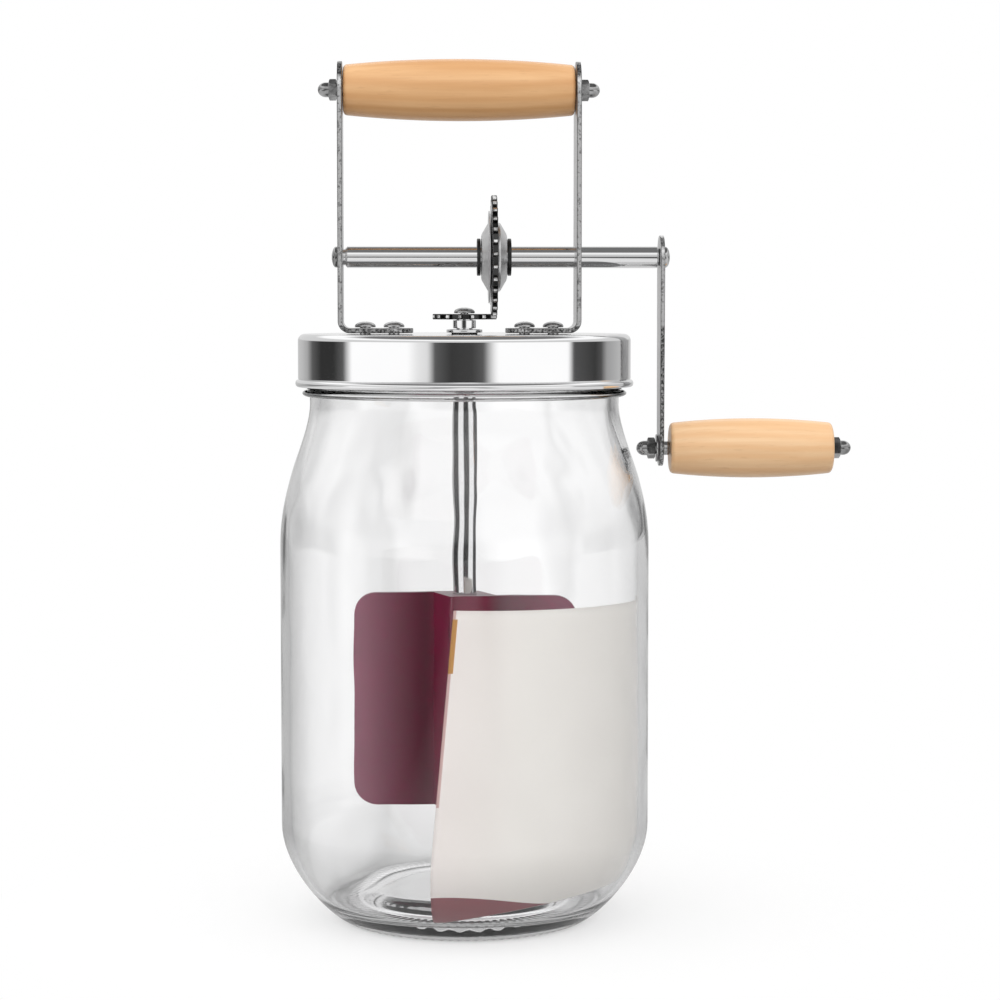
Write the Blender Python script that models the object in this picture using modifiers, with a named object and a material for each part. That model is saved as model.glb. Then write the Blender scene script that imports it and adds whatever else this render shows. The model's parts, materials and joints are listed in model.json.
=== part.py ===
"""Hand-cranked butter churn: a glass jar whose steel screw lid carries a geared crank and a paddle.

Metres, +Z up. The origin is the centre of the jar's underside. The crank hangs at the +X side.
"""

import math

import bmesh
import bpy
from mathutils import Vector

# Clearances, and how finely round pieces are stepped
part_gap = 0.0003
running_clearance = 0.00008
cut_overrun = 0.001
weld_distance = 0.000005
jar_steps = 48
grip_steps = 28
rod_steps = 20
small_steps = 16

# Glass jar, from its underside up
jar_body_radius = 0.0683
jar_wall = 0.0035
jar_foot_radius = 0.0449
heel_height = 0.0352
heel_upper_pull = 0.0160
heel_lower_reach = 0.0061
heel_lower_rise = 0.0015
straight_height = 0.1035
shoulder_height = 0.0520
shoulder_lower_pull = 0.0240
shoulder_upper_pull = 0.0140
neck_radius = 0.0571
neck_flare = 0.0010
neck_height = 0.0033
bead_projection = 0.0028
bead_height = 0.0027
finish_projection = 0.0017
finish_height = 0.0182
rim_round = 0.0012
thread_depth = 0.00175
thread_width = 0.0022
thread_pitch = 0.0060
thread_rim_drop = 0.0045
floor_thickness = 0.0078
floor_radius = 0.0500
floor_crown = 0.0052
crown_radius = 0.0340
crown_pull = 0.0080
inner_heel_rise = 0.0272
inner_heel_reach = 0.0035
inner_heel_pull = 0.0120

# Steel lid and its seal
seal_thickness = 0.0010
lid_sheet = 0.0006
lid_edge_radius = 0.0025
lid_bead_gap = 0.0010
hem_projection = 0.0010
hem_height = 0.0026

# Bent flat straps that carry the grip and the crank shaft
bracket_span = 0.0856
bracket_centre_x = -0.0019
strap_width = 0.0208
strap_thickness = 0.0018
strap_bend_radius = 0.0026
foot_length = 0.0276
foot_screw_setback = 0.0099
foot_screw_spacing = 0.0106
top_grip_rise = 0.0893

# Fasteners
stud_radius = 0.0020
end_screw_radius = 0.0015
end_screw_depth = 0.0080
screw_head_radius = 0.00385
screw_head_height = 0.0021
screw_head_rim = 0.0005
cross_length = 0.0036
cross_width = 0.0008
cross_depth = 0.0010
nut_flats = 0.0068
nut_chamfer = 0.0006
foot_nut_thickness = 0.0030
foot_screw_show = 0.0010
acorn_hex_length = 0.0028
acorn_dome_radius = 0.0027
acorn_dome_length = 0.0041
acorn_socket_depth = 0.0050

# Journals shared by the crank shaft and the agitator shaft
journal_radius = 0.0030
journal_half_flat = 0.0023

# Bush in the lid and the agitator shaft
bush_barrel_radius = 0.00475
bush_flange_radius = 0.00665
bush_flange_thickness = 0.0014
bush_nut_flats = 0.0140
bush_nut_thickness = 0.0040
bush_show = 0.0010
sleeve_radius = 0.00425
sleeve_length = 0.0030
agitator_rod_radius = 0.0044

# Gear pair: the gear stands in the YZ plane and the pinion lies in the XY plane
gear_teeth = 30
pinion_teeth = 15
gear_tip_radius = 0.0227
pinion_tip_radius = 0.01184
gear_thickness = 0.0020
pinion_thickness = 0.0020
mesh_depth = 0.0018
mesh_reach = 0.0019
root_clearance = 0.0004
tooth_round = 0.0005
tooth_top_share = 0.18
tooth_tip_share = 0.32
tooth_root_share = 0.46
mesh_phase = math.radians(4)

# Gear hubs and retaining rings
hub_flange_radius = 0.0170
hub_flange_thickness = 0.0006
hub_cone_radius = 0.0126
hub_nose_radius = 0.0080
hub_length = 0.0034
hub_ring_radius = 0.00685
hub_ring_thickness = 0.0013

# Crank shaft, arm and pin
shaft_radius = 0.0040
shaft_shoulder_gap = 0.0010
crank_jar_clearance = 0.0019
arm_thickness = 0.0016
arm_hub_radius = 0.0080
arm_tip_radius = 0.0066
crank_radius = 0.0706
crank_washer_radius = 0.0051
crank_washer_thickness = 0.0007
pin_spacer_radius = 0.0026
pin_spacer_length = 0.0020

# Turned wooden grips
top_grip_mid_radius = 0.0113
top_grip_end_radius = 0.0093
crank_grip_length = 0.0604
crank_grip_mid_radius = 0.0110
crank_grip_end_radius = 0.0095
grip_edge_round = 0.0016

# Moulded paddle
paddle_floor_clearance = 0.0278
paddle_height = 0.0799
paddle_hub_side = 0.0186
paddle_hub_turn = math.radians(20)
paddle_hub_round = 0.0012
paddle_socket_depth = 0.0300
blade_reach = 0.0415
blade_root = 0.0040
blade_offset = 0.0060
blade_thickness = 0.0030
blade_corner_radius = 0.0085

# Paper card that stands in the jar, bent along its wall
card_thickness = 0.0005
card_left_height = 0.1132
card_right_height = 0.1119
card_top_left_angle = math.radians(-4.5)
card_top_right_angle = math.radians(85)
card_foot_left_angle = math.radians(-13.5)
card_foot_right_angle = math.radians(85)
card_foot_rise = 0.0110

# Heights of the jar's stretches and of what stacks up on its rim
heel_top = heel_height
straight_top = heel_top + straight_height
neck_bottom = straight_top + shoulder_height
bead_bottom = neck_bottom + neck_height
bead_top = bead_bottom + bead_height
rim_top = bead_top + finish_height
inner_radius = jar_body_radius - jar_wall
mouth_radius = neck_radius - jar_wall
finish_radius = neck_radius + finish_projection
seal_bottom = rim_top + part_gap
seal_top = seal_bottom + seal_thickness
lid_underside = seal_top + part_gap
lid_top = lid_underside + lid_sheet
lid_inner_radius = finish_radius + thread_depth + part_gap
hem_bottom = bead_top + lid_bead_gap

# Heights along the agitator
bush_flange_bottom = lid_top + part_gap
bush_flange_top = bush_flange_bottom + bush_flange_thickness
bush_nut_top = lid_underside - part_gap
bush_bottom = bush_nut_top - bush_nut_thickness - bush_show
sleeve_bottom = bush_flange_top + part_gap
sleeve_top = sleeve_bottom + sleeve_length
pinion_bottom = sleeve_top + part_gap
pinion_top = pinion_bottom + pinion_thickness
rod_shoulder = bush_bottom - part_gap
paddle_bottom = floor_thickness + floor_crown + paddle_floor_clearance
paddle_top = paddle_bottom + paddle_height
socket_bottom = paddle_top - paddle_socket_depth

# Axes of the crank, its grip and the top grip
crank_z = pinion_top - mesh_depth + gear_tip_radius
crank_grip_z = crank_z - crank_radius
top_grip_z = lid_top + top_grip_rise


def curve_points(start, first_pull, second_pull, end, count):
    """Points on a cubic curve, its two ends included."""
    points = []
    for index in range(count + 1):
        share = index / count
        rest = 1 - share
        weights = (rest**3, 3 * rest**2 * share, 3 * rest * share**2, share**3)
        knots = (start, first_pull, second_pull, end)
        radius = sum(weight * knot[0] for weight, knot in zip(weights, knots))
        height = sum(weight * knot[1] for weight, knot in zip(weights, knots))
        points.append((radius, height))
    return points


def radius_at(points, height):
    """The radius of a line of (radius, height) points at a height, straight between the points."""
    ordered = sorted(points, key=lambda point: point[1])
    below = ordered[0]
    for point in ordered:
        if point[1] > height:
            share = (height - below[1]) / (point[1] - below[1]) if point is not below else 0
            return below[0] + (point[0] - below[0]) * share
        below = point
    return below[0]


# Curves of the jar's wall
floor_dome = curve_points(
    (crown_radius, floor_thickness + floor_crown),
    (crown_radius + crown_pull, floor_thickness + floor_crown),
    (floor_radius - crown_pull, floor_thickness),
    (floor_radius, floor_thickness),
    4,
)
inner_heel_top = floor_thickness + inner_heel_rise
inner_heel = curve_points(
    (floor_radius, floor_thickness),
    (floor_radius + inner_heel_reach, floor_thickness),
    (inner_radius, inner_heel_top - inner_heel_pull),
    (inner_radius, inner_heel_top),
    5,
)
outer_shoulder = curve_points(
    (neck_radius, neck_bottom),
    (neck_radius + neck_flare, neck_bottom - shoulder_upper_pull),
    (jar_body_radius, straight_top + shoulder_lower_pull),
    (jar_body_radius, straight_top),
    7,
)
outer_heel = curve_points(
    (jar_body_radius, heel_top),
    (jar_body_radius, heel_top - heel_upper_pull),
    (jar_foot_radius + heel_lower_reach, heel_lower_rise),
    (jar_foot_radius, 0),
    7,
)

# Places along X of the straps, the crank shaft and the gear
left_inner_x = bracket_centre_x - bracket_span / 2
left_outer_x = left_inner_x - strap_thickness
right_inner_x = bracket_centre_x + bracket_span / 2
right_outer_x = right_inner_x + strap_thickness
gear_left_x = pinion_tip_radius - mesh_reach
gear_right_x = gear_left_x + gear_thickness
acorn_length = acorn_hex_length + acorn_dome_length
crank_nut_tip_x = radius_at(outer_shoulder + outer_heel, crank_grip_z - acorn_dome_radius) + crank_jar_clearance
arm_left_x = crank_nut_tip_x + acorn_length + part_gap + crank_washer_thickness + part_gap
shaft_end_x = arm_left_x - part_gap
arm_right_x = arm_left_x + arm_thickness
spacer_left_x = arm_right_x + part_gap
crank_grip_left_x = spacer_left_x + pin_spacer_length + part_gap
crank_grip_right_x = crank_grip_left_x + crank_grip_length

# Directions for pieces turned about X, by the way their local +Z points
along_plus_x = (0, math.pi / 2, 0)
along_minus_x = (0, -math.pi / 2, 0)

for old in list(bpy.data.objects):
    bpy.data.objects.remove(old)

parts = bpy.data.collections.new("butter_churn")
bpy.context.scene.collection.children.link(parts)
cutters = bpy.data.collections.new("cutters")
bpy.context.scene.collection.children.link(cutters)


def material(name, colour, roughness, metallic=0.0, alpha=1.0):
    """A Principled material."""
    made = bpy.data.materials.new(name)
    made.use_nodes = True
    shader = made.node_tree.nodes["Principled BSDF"]
    shader.inputs["Base Color"].default_value = (*colour, 1)
    shader.inputs["Roughness"].default_value = roughness
    shader.inputs["Metallic"].default_value = metallic
    shader.inputs["Alpha"].default_value = alpha
    made.diffuse_color = (*colour, alpha)
    return made


def place(piece, position, parent=None):
    """Puts a piece at a position in the part's frame, as a child of its joint's empty."""
    piece.parent = parent
    piece.location = Vector(position)
    while parent is not None:
        piece.location -= parent.location
        parent = parent.parent


def axis_empty(name, position, parent=None):
    """An empty on a joint's axis that carries the pieces of one moving body."""
    empty = bpy.data.objects.new(name, None)
    empty.empty_display_size = stud_radius
    parts.objects.link(empty)
    place(empty, position, parent)
    return empty


def add_piece(name, mesh, look, position, parent=None, rotation=(0, 0, 0)):
    """A named sub-part that shows the given mesh."""
    piece = bpy.data.objects.new(name, mesh)
    parts.objects.link(piece)
    piece.rotation_euler = rotation
    place(piece, position, parent)
    if not mesh.materials:
        mesh.materials.append(look)
    return piece


def add_cutter(name, mesh, position, rotation=(0, 0, 0)):
    """A hidden cutting shape."""
    cutter = bpy.data.objects.new(name, mesh)
    cutters.objects.link(cutter)
    cutter.location = position
    cutter.rotation_euler = rotation
    cutter.hide_render = True
    cutter.display_type = "WIRE"
    return cutter


def boolean(piece, cutter, operation="DIFFERENCE"):
    """Cuts, joins or trims a piece with another shape."""
    step = piece.modifiers.new(cutter.name, "BOOLEAN")
    step.operation = operation
    step.object = cutter


def profile_mesh(name, profile, closed=False):
    """The edges of a turned shape's profile, as (radius, height) points at +X."""
    mesh = bpy.data.meshes.new(name)
    edges = [(index, index + 1) for index in range(len(profile) - 1)]
    if closed:
        edges.append((len(profile) - 1, 0))
    mesh.from_pydata([(radius, 0, height) for radius, height in profile], edges, [])
    return mesh


def turn(piece, steps):
    """Turns a profile a full circle about its local Z."""
    screw = piece.modifiers.new("turned", "SCREW")
    screw.axis = "Z"
    screw.angle = math.tau
    screw.steps = steps
    screw.render_steps = steps
    screw.use_merge_vertices = True
    screw.merge_threshold = weld_distance
    screw.use_smooth_shade = True


def turned(name, profile, look, steps, position, parent=None, rotation=(0, 0, 0), closed=False):
    """A sub-part turned from a profile, outer side top to bottom."""
    piece = add_piece(name, profile_mesh(name, profile, closed), look, position, parent, rotation)
    turn(piece, steps)
    return piece


def ring_profile(inner, outer, bottom, top):
    """The closed profile of a plain ring."""
    return [(inner, top), (outer, top), (outer, bottom), (inner, bottom)]


def arc(centre, radii, start, end, count):
    """Points on an ellipse's arc about (radius, height) centre, its two ends included."""
    points = []
    for index in range(count + 1):
        angle = start + (end - start) * index / count
        points.append((centre[0] + radii[0] * math.cos(angle), centre[1] + radii[1] * math.sin(angle)))
    return points


def circle(radius, count, centre=(0, 0)):
    """A closed ring of points."""
    return arc(centre, (radius, radius), 0, math.tau * (count - 1) / count, count - 1)


def flatted_circle(radius, half_flat, count):
    """A circle with two flats at equal distances on both sides of its centre."""
    corner = math.acos(half_flat / radius)
    upper = arc((0, 0), (radius, radius), corner, math.pi - corner, count)
    lower = arc((0, 0), (radius, radius), math.pi + corner, math.tau - corner, count)
    return upper + lower


def baked_mesh(piece, name):
    """The piece's evaluated shape as a mesh of its own; the piece is removed."""
    bpy.context.view_layer.update()
    evaluated = piece.evaluated_get(bpy.context.evaluated_depsgraph_get())
    mesh = bpy.data.meshes.new_from_object(evaluated)
    mesh.name = name
    bpy.data.objects.remove(piece)
    return mesh


def weld(mesh):
    """Welds loose caps and points the faces outward."""
    work = bmesh.new()
    work.from_mesh(mesh)
    bmesh.ops.remove_doubles(work, verts=work.verts, dist=weld_distance)
    bmesh.ops.recalc_face_normals(work, faces=work.faces)
    work.to_mesh(mesh)
    work.free()


def plate_mesh(name, outline, holes, thickness):
    """A flat plate with holes, in its local XY plane and centred on it."""
    curve = bpy.data.curves.new(name, "CURVE")
    curve.dimensions = "2D"
    curve.fill_mode = "BOTH"
    curve.extrude = thickness / 2
    for loop in [outline, *holes]:
        spline = curve.splines.new("POLY")
        spline.points.add(len(loop) - 1)
        spline.use_cyclic_u = True
        for point, (x, y) in zip(spline.points, loop):
            point.co = (x, y, 0, 1)
    drawn = bpy.data.objects.new(name, curve)
    cutters.objects.link(drawn)
    mesh = baked_mesh(drawn, name)
    bpy.data.curves.remove(curve)
    weld(mesh)
    return mesh


def box_mesh(name, sizes):
    """A box centred on its origin."""
    work = bmesh.new()
    bmesh.ops.create_cube(work, size=1)
    bmesh.ops.scale(work, vec=sizes, verts=work.verts)
    mesh = bpy.data.meshes.new(name)
    work.to_mesh(mesh)
    work.free()
    return mesh


def cylinder_mesh(name, radius, length, steps):
    """A solid cylinder or prism centred on its origin, its axis along Z."""
    work = bmesh.new()
    bmesh.ops.create_cone(
        work, cap_ends=True, segments=steps, radius1=radius, radius2=radius, depth=length
    )
    mesh = bpy.data.meshes.new(name)
    work.to_mesh(mesh)
    work.free()
    mesh.shade_smooth()
    mesh.set_sharp_from_angle(angle=math.radians(40))
    return mesh


def hex_trimmed(name, profile, flats, length, closed):
    """A turned blank trimmed to a hexagon, as nuts are made."""
    blank = bpy.data.objects.new(name, profile_mesh(name, profile, closed))
    cutters.objects.link(blank)
    turn(blank, small_steps)
    corner_radius = flats / 2 / math.cos(math.pi / 6)
    prism = add_cutter(name + "_hexagon", cylinder_mesh(name + "_hexagon", corner_radius, length * 2, 6), (0, 0, 0))
    boolean(blank, prism, "INTERSECT")
    mesh = baked_mesh(blank, name)
    bpy.data.objects.remove(prism)
    weld(mesh)
    return mesh


def acorn_nut_mesh():
    """An acorn nut that sits on z = 0 with its dome upward and a blind hole below."""
    corner_radius = nut_flats / 2 / math.cos(math.pi / 6)
    dome_base = acorn_hex_length
    dome = arc((0, dome_base), (acorn_dome_radius, acorn_dome_length), math.pi / 2, 0, 5)
    profile = dome[:-1] + [
        (acorn_dome_radius, dome_base),
        (corner_radius - nut_chamfer, dome_base),
        (corner_radius, dome_base - nut_chamfer),
        (corner_radius, nut_chamfer / 2),
        (corner_radius - nut_chamfer, 0),
        (stud_radius + part_gap, 0),
        (stud_radius + part_gap, acorn_socket_depth),
        (0, acorn_socket_depth),
    ]
    profile[0] = (0, dome_base + acorn_dome_length)
    return hex_trimmed("acorn_nut", profile, nut_flats, acorn_hex_length + acorn_dome_length + cut_overrun, False)


def hex_nut_mesh(name, flats, thickness, bore):
    """A plain hexagon nut whose top face is at z = 0."""
    corner_radius = flats / 2 / math.cos(math.pi / 6)
    profile = [
        (bore, 0),
        (corner_radius - nut_chamfer, 0),
        (corner_radius, -nut_chamfer / 2),
        (corner_radius, -thickness + nut_chamfer / 2),
        (corner_radius - nut_chamfer, -thickness),
        (bore, -thickness),
    ]
    return hex_trimmed(name, profile, flats, thickness + cut_overrun, True)


def dome_screw_mesh(name, shank_radius, shank_length):
    """A dome-head screw with a cross recess, its head resting on z = 0 and its shank downward."""
    dome_height = screw_head_height - screw_head_rim
    dome = arc((0, screw_head_rim), (screw_head_radius, dome_height), math.pi / 2, 0, 4)
    dome[0] = (0, screw_head_height)
    profile = dome + [(screw_head_radius, 0), (shank_radius, 0), (shank_radius, -shank_length), (0, -shank_length)]
    blank = bpy.data.objects.new(name, profile_mesh(name, profile))
    cutters.objects.link(blank)
    turn(blank, small_steps)
    slots = []
    for index, sizes in enumerate([(cross_length, cross_width), (cross_width, cross_length)]):
        box = box_mesh(name + "_slot", (*sizes, cross_depth + cut_overrun))
        middle = screw_head_height - cross_depth + (cross_depth + cut_overrun) / 2
        slot = add_cutter(name + "_slot_" + str(index), box, (0, 0, middle))
        boolean(blank, slot)
        slots.append(slot)
    mesh = baked_mesh(blank, name)
    for slot in slots:
        bpy.data.objects.remove(slot)
    weld(mesh)
    return mesh


def jar_profile():
    """The jar's wall from the middle of its floor, up inside, over the rim and down outside to its underside."""
    inner_shoulder = curve_points(
        (inner_radius, straight_top),
        (inner_radius, straight_top + shoulder_lower_pull),
        (mouth_radius + neck_flare, neck_bottom - shoulder_upper_pull),
        (mouth_radius, neck_bottom),
        6,
    )
    inside_lip = arc((mouth_radius + rim_round, rim_top - rim_round), (rim_round, rim_round), math.pi, math.pi / 2, 2)
    outside_lip = arc((finish_radius - rim_round, rim_top - rim_round), (rim_round, rim_round), math.pi / 2, 0, 2)
    threads = []
    for drop in (thread_rim_drop, thread_rim_drop + thread_pitch):
        middle = rim_top - drop
        threads += arc((finish_radius, middle), (thread_depth, thread_width / 2), math.pi / 2, -math.pi / 2, 2)
    bead = arc(
        (neck_radius, bead_bottom + bead_height / 2), (bead_projection, bead_height / 2), math.pi / 2, -math.pi / 2, 4
    )
    inside = [(0, floor_thickness + floor_crown)] + floor_dome[:-1] + inner_heel + inner_shoulder + inside_lip
    outside = outside_lip + threads + [(finish_radius, bead_top)] + bead + outer_shoulder + outer_heel
    return inside + outside + [(0, 0)]


def build_jar(look):
    """The glass jar, its thread simplified to two rings."""
    turned("glass_jar", jar_profile(), look, jar_steps, (0, 0, 0))


def build_card(look):
    """A bare paper card that stands on the jar's floor and bends along the front right of its wall."""
    columns = 16
    rows = 9
    work = bmesh.new()
    bmesh.ops.create_grid(work, x_segments=columns, y_segments=rows, size=1)
    stand_off = part_gap + card_thickness / 2
    for vertex in work.verts:
        across = (vertex.co.x + 1) / 2
        upward = ((vertex.co.y + 1) / 2) ** 2
        foot_angle = card_foot_left_angle + (card_foot_right_angle - card_foot_left_angle) * across
        head_angle = card_top_left_angle + (card_top_right_angle - card_top_left_angle) * across
        head_height = card_left_height + (card_right_height - card_left_height) * across
        foot_height = card_foot_rise * (1 - (1 - across) ** 2)
        angle = foot_angle + (head_angle - foot_angle) * upward
        height = floor_thickness + foot_height + (head_height - foot_height) * upward
        radius = radius_at(inner_heel, height) - stand_off
        vertex.co = (radius * math.sin(angle), -radius * math.cos(angle), height + stand_off)
    mesh = bpy.data.meshes.new("leaflet")
    work.to_mesh(mesh)
    work.free()
    leaflet = add_piece("leaflet", mesh, look, (0, 0, 0))
    shell = leaflet.modifiers.new("paper", "SOLIDIFY")
    shell.thickness = card_thickness
    shell.offset = 0


def lid_profile():
    """The lid's sheet from the edge of its middle hole, over the rounded edge, round the hem and back inside."""
    outer_radius = lid_inner_radius + lid_sheet
    bend_inside = lid_edge_radius - lid_sheet
    bend_centre = (outer_radius - lid_edge_radius, lid_top - lid_edge_radius)
    outer_bend = arc(bend_centre, (lid_edge_radius, lid_edge_radius), math.pi / 2, 0, 4)
    hem_middle = (outer_radius, hem_bottom + hem_height / 2)
    hem = arc(hem_middle, (hem_projection, hem_height / 2), math.pi / 2, -math.pi / 2, 4)
    inner_bend = arc(bend_centre, (bend_inside, bend_inside), 0, math.pi / 2, 3)
    hole_radius = bush_barrel_radius + part_gap
    return [(hole_radius, lid_top)] + outer_bend + hem + [(lid_inner_radius, hem_bottom)] + inner_bend + [
        (hole_radius, lid_underside)
    ]


def foot_screw_places():
    """X of the four foot screws, from left to right."""
    setbacks = (foot_screw_setback, foot_screw_setback + foot_screw_spacing)
    left = [left_outer_x + setback for setback in setbacks]
    right = [right_outer_x - setback for setback in reversed(setbacks)]
    return left + right


def build_lid(steel, rubber, lift, lid):
    """The pressed steel cap and the seal under it."""
    seal_middle = (seal_bottom + seal_top) / 2
    half = seal_thickness / 2
    seal_ring = ring_profile(mouth_radius + rim_round, finish_radius - rim_round, -half, half)
    turned("lid_seal", seal_ring, rubber, jar_steps, (0, 0, seal_middle), lift, closed=True)
    profile = [(radius, height - lid_underside) for radius, height in lid_profile()]
    cap = turned("lid_cap", profile, steel, jar_steps, (0, 0, lid_underside), lid, closed=True)
    for index, x in enumerate(foot_screw_places()):
        drill = cylinder_mesh("screw_drill", stud_radius + part_gap, lid_sheet + cut_overrun * 2, small_steps)
        boolean(cap, add_cutter("lid_drill_" + str(index + 1), drill, (x, 0, lid_underside + lid_sheet / 2)))


def bent_strap_mesh(name, shaft_hole_radius, side):
    """A flat strap with round ends and its holes, bent up square from its foot; side is -1 left, 1 right."""
    half = strap_width / 2
    bend_middle_radius = strap_bend_radius + strap_thickness / 2
    foot_middle_z = lid_top + part_gap + strap_thickness / 2
    upright_x = (right_outer_x - left_outer_x) / 2 - strap_thickness / 2
    foot_tip_x = upright_x + strap_thickness / 2 - foot_length
    bend_start = foot_length - strap_thickness / 2 - bend_middle_radius
    bend_end = bend_start + bend_middle_radius * math.pi / 2
    bend_top_z = foot_middle_z + bend_middle_radius
    grip_s = bend_end + top_grip_z - bend_top_z
    shaft_s = bend_end + crank_z - bend_top_z
    foot_end = arc((half, 0), (half, half), math.pi * 3 / 2, math.pi / 2, 12)
    top_end = arc((grip_s, 0), (half, half), math.pi / 2, -math.pi / 2, 12)
    stud_hole = stud_radius + part_gap
    holes = [circle(stud_hole, small_steps, (grip_s, 0)), circle(shaft_hole_radius, rod_steps, (shaft_s, 0))]
    for setback in (foot_screw_setback, foot_screw_setback + foot_screw_spacing):
        holes.append(circle(stud_hole, small_steps, (foot_length - setback, 0)))
    mesh = plate_mesh(name, foot_end + top_end, holes, strap_thickness)
    work = bmesh.new()
    work.from_mesh(mesh)
    folds = 6
    for index in range(folds + 1):
        fold = bend_start + (bend_end - bend_start) * index / folds
        geometry = work.verts[:] + work.edges[:] + work.faces[:]
        bmesh.ops.bisect_plane(work, geom=geometry, plane_co=(fold, 0, 0), plane_no=(1, 0, 0), dist=weld_distance)
    for vertex in work.verts:
        along, across, offset = vertex.co
        turned_share = min(max((along - bend_start) / (bend_end - bend_start), 0), 1)
        angle = turned_share * math.pi / 2
        x = foot_tip_x + min(along, bend_start) + (bend_middle_radius - offset) * math.sin(angle)
        z = bend_top_z - (bend_middle_radius - offset) * math.cos(angle) + max(along - bend_end, 0)
        vertex.co = (side * x, across, z - lid_underside)
    if side < 0:
        bmesh.ops.reverse_faces(work, faces=work.faces)
    work.to_mesh(mesh)
    work.free()
    return mesh


def build_brackets(steel, bright, lid):
    """The two straps with the screws and nuts that hold their feet to the lid."""
    centre_x = (left_outer_x + right_outer_x) / 2
    left = bent_strap_mesh("left_bracket", journal_radius + running_clearance, -1)
    right = bent_strap_mesh("right_bracket", shaft_radius + running_clearance, 1)
    add_piece("left_bracket", left, steel, (centre_x, 0, lid_underside), lid)
    add_piece("right_bracket", right, steel, (centre_x, 0, lid_underside), lid)
    stack = part_gap + strap_thickness + part_gap + lid_sheet + part_gap
    shank_length = stack + foot_nut_thickness + foot_screw_show
    screw = dome_screw_mesh("foot_screw", stud_radius, shank_length)
    nut = hex_nut_mesh("foot_nut", nut_flats, foot_nut_thickness, stud_radius + part_gap)
    head_z = lid_top + part_gap + strap_thickness + part_gap
    nut_z = lid_underside - part_gap
    for index, x in enumerate(foot_screw_places()):
        number = str(index + 1)
        add_piece("foot_screw_" + number, screw, bright, (x, 0, head_z), lid)
        add_piece("foot_nut_" + number, nut, bright, (x, 0, nut_z), lid)


def grip_profile(length, mid_radius, end_radius, bore):
    """The closed profile of a barrel grip with rounded ends, centred on its length."""
    half = length / 2
    stations = 8
    edge = (grip_edge_round, grip_edge_round)
    shoulder = half - grip_edge_round
    upper_round = arc((end_radius - grip_edge_round, shoulder), edge, math.pi / 2, 0, 2)
    lower_round = arc((end_radius - grip_edge_round, -shoulder), edge, 0, -math.pi / 2, 2)
    barrel = []
    for index in range(1, stations):
        share = 1 - 2 * index / stations
        barrel.append((end_radius + (mid_radius - end_radius) * (1 - share**2), share * shoulder))
    return [(bore, half)] + upper_round + barrel + lower_round + [(bore, -half)]


def build_top_grip(wood, bright, lid, grip_axis):
    """The wooden carrying grip on its tie rod, which two acorn nuts close outside the straps."""
    bore = stud_radius + running_clearance
    length = bracket_span - part_gap * 2
    profile = grip_profile(length, top_grip_mid_radius, top_grip_end_radius, bore)
    middle = (bracket_centre_x, 0, top_grip_z)
    turned("top_grip", profile, wood, grip_steps, middle, grip_axis, along_plus_x, closed=True)
    seat_left = left_outer_x - part_gap
    seat_right = right_outer_x + part_gap
    rod_reach = acorn_socket_depth - part_gap
    rod_length = seat_right - seat_left + rod_reach * 2
    rod = cylinder_mesh("tie_rod", stud_radius, rod_length, small_steps)
    add_piece("tie_rod", rod, bright, middle, lid, along_plus_x)
    nut = acorn_nut_mesh()
    add_piece("top_nut_left", nut, bright, (seat_left, 0, top_grip_z), lid, along_minus_x)
    add_piece("top_nut_right", nut, bright, (seat_right, 0, top_grip_z), lid, along_plus_x)
    return nut


def cut_flats(shaft, name, middle, length, rotation):
    """Cuts two flats on a journal, over the given length."""
    depth = journal_radius
    for side in (-1, 1):
        offset = side * (journal_half_flat + depth / 2)
        block = box_mesh(name + "_flat", (depth, journal_radius * 2 + cut_overrun, length))
        local = Vector((offset, 0, 0))
        if rotation == along_plus_x:
            local = Vector((0, 0, -offset))
        boolean(shaft, add_cutter(name + "_flat_" + str(side), block, Vector(middle) + local, rotation))


def build_crank_shaft(steel, bright, crank):
    """The horizontal shaft, its left journal in the left strap and its right end flatted for the arm."""
    left_end = left_outer_x
    shoulder = left_inner_x + shaft_shoulder_gap
    hole = end_screw_radius + part_gap
    profile = [
        (0, arm_right_x - end_screw_depth),
        (hole, arm_right_x - end_screw_depth),
        (hole, arm_right_x),
        (journal_radius, arm_right_x),
        (journal_radius, shaft_end_x),
        (shaft_radius, shaft_end_x),
        (shaft_radius, shoulder),
        (journal_radius, shoulder),
        (journal_radius, left_end),
        (hole, left_end),
        (hole, left_end + end_screw_depth),
        (0, left_end + end_screw_depth),
    ]
    shaft = turned("crank_shaft", profile, steel, rod_steps, (0, 0, crank_z), crank, along_plus_x)
    flat_length = arm_right_x - shaft_end_x + cut_overrun
    cut_flats(shaft, "crank", (shaft_end_x + flat_length / 2, 0, crank_z), flat_length, along_plus_x)
    screw = dome_screw_mesh("end_screw", end_screw_radius, end_screw_depth - part_gap * 2)
    left_seat = left_end - part_gap
    right_seat = arm_right_x + part_gap
    add_piece("shaft_screw", screw, bright, (left_seat, 0, crank_z), crank, along_minus_x)
    add_piece("crank_screw", screw, bright, (right_seat, 0, crank_z), crank, along_plus_x)
    return screw


def toothed_outline(teeth, tip_radius, root_radius, phase):
    """A gear's outline with a tooth centred on the phase angle."""
    pitch = math.tau / teeth
    corners = (
        (-tooth_root_share, root_radius),
        (-tooth_tip_share, tip_radius - tooth_round),
        (-tooth_top_share, tip_radius),
        (tooth_top_share, tip_radius),
        (tooth_tip_share, tip_radius - tooth_round),
        (tooth_root_share, root_radius),
    )
    points = []
    for tooth in range(teeth):
        for share, radius in corners:
            angle = phase + (tooth + share / 2) * pitch
            points.append((radius * math.cos(angle), radius * math.sin(angle)))
    return points


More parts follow.
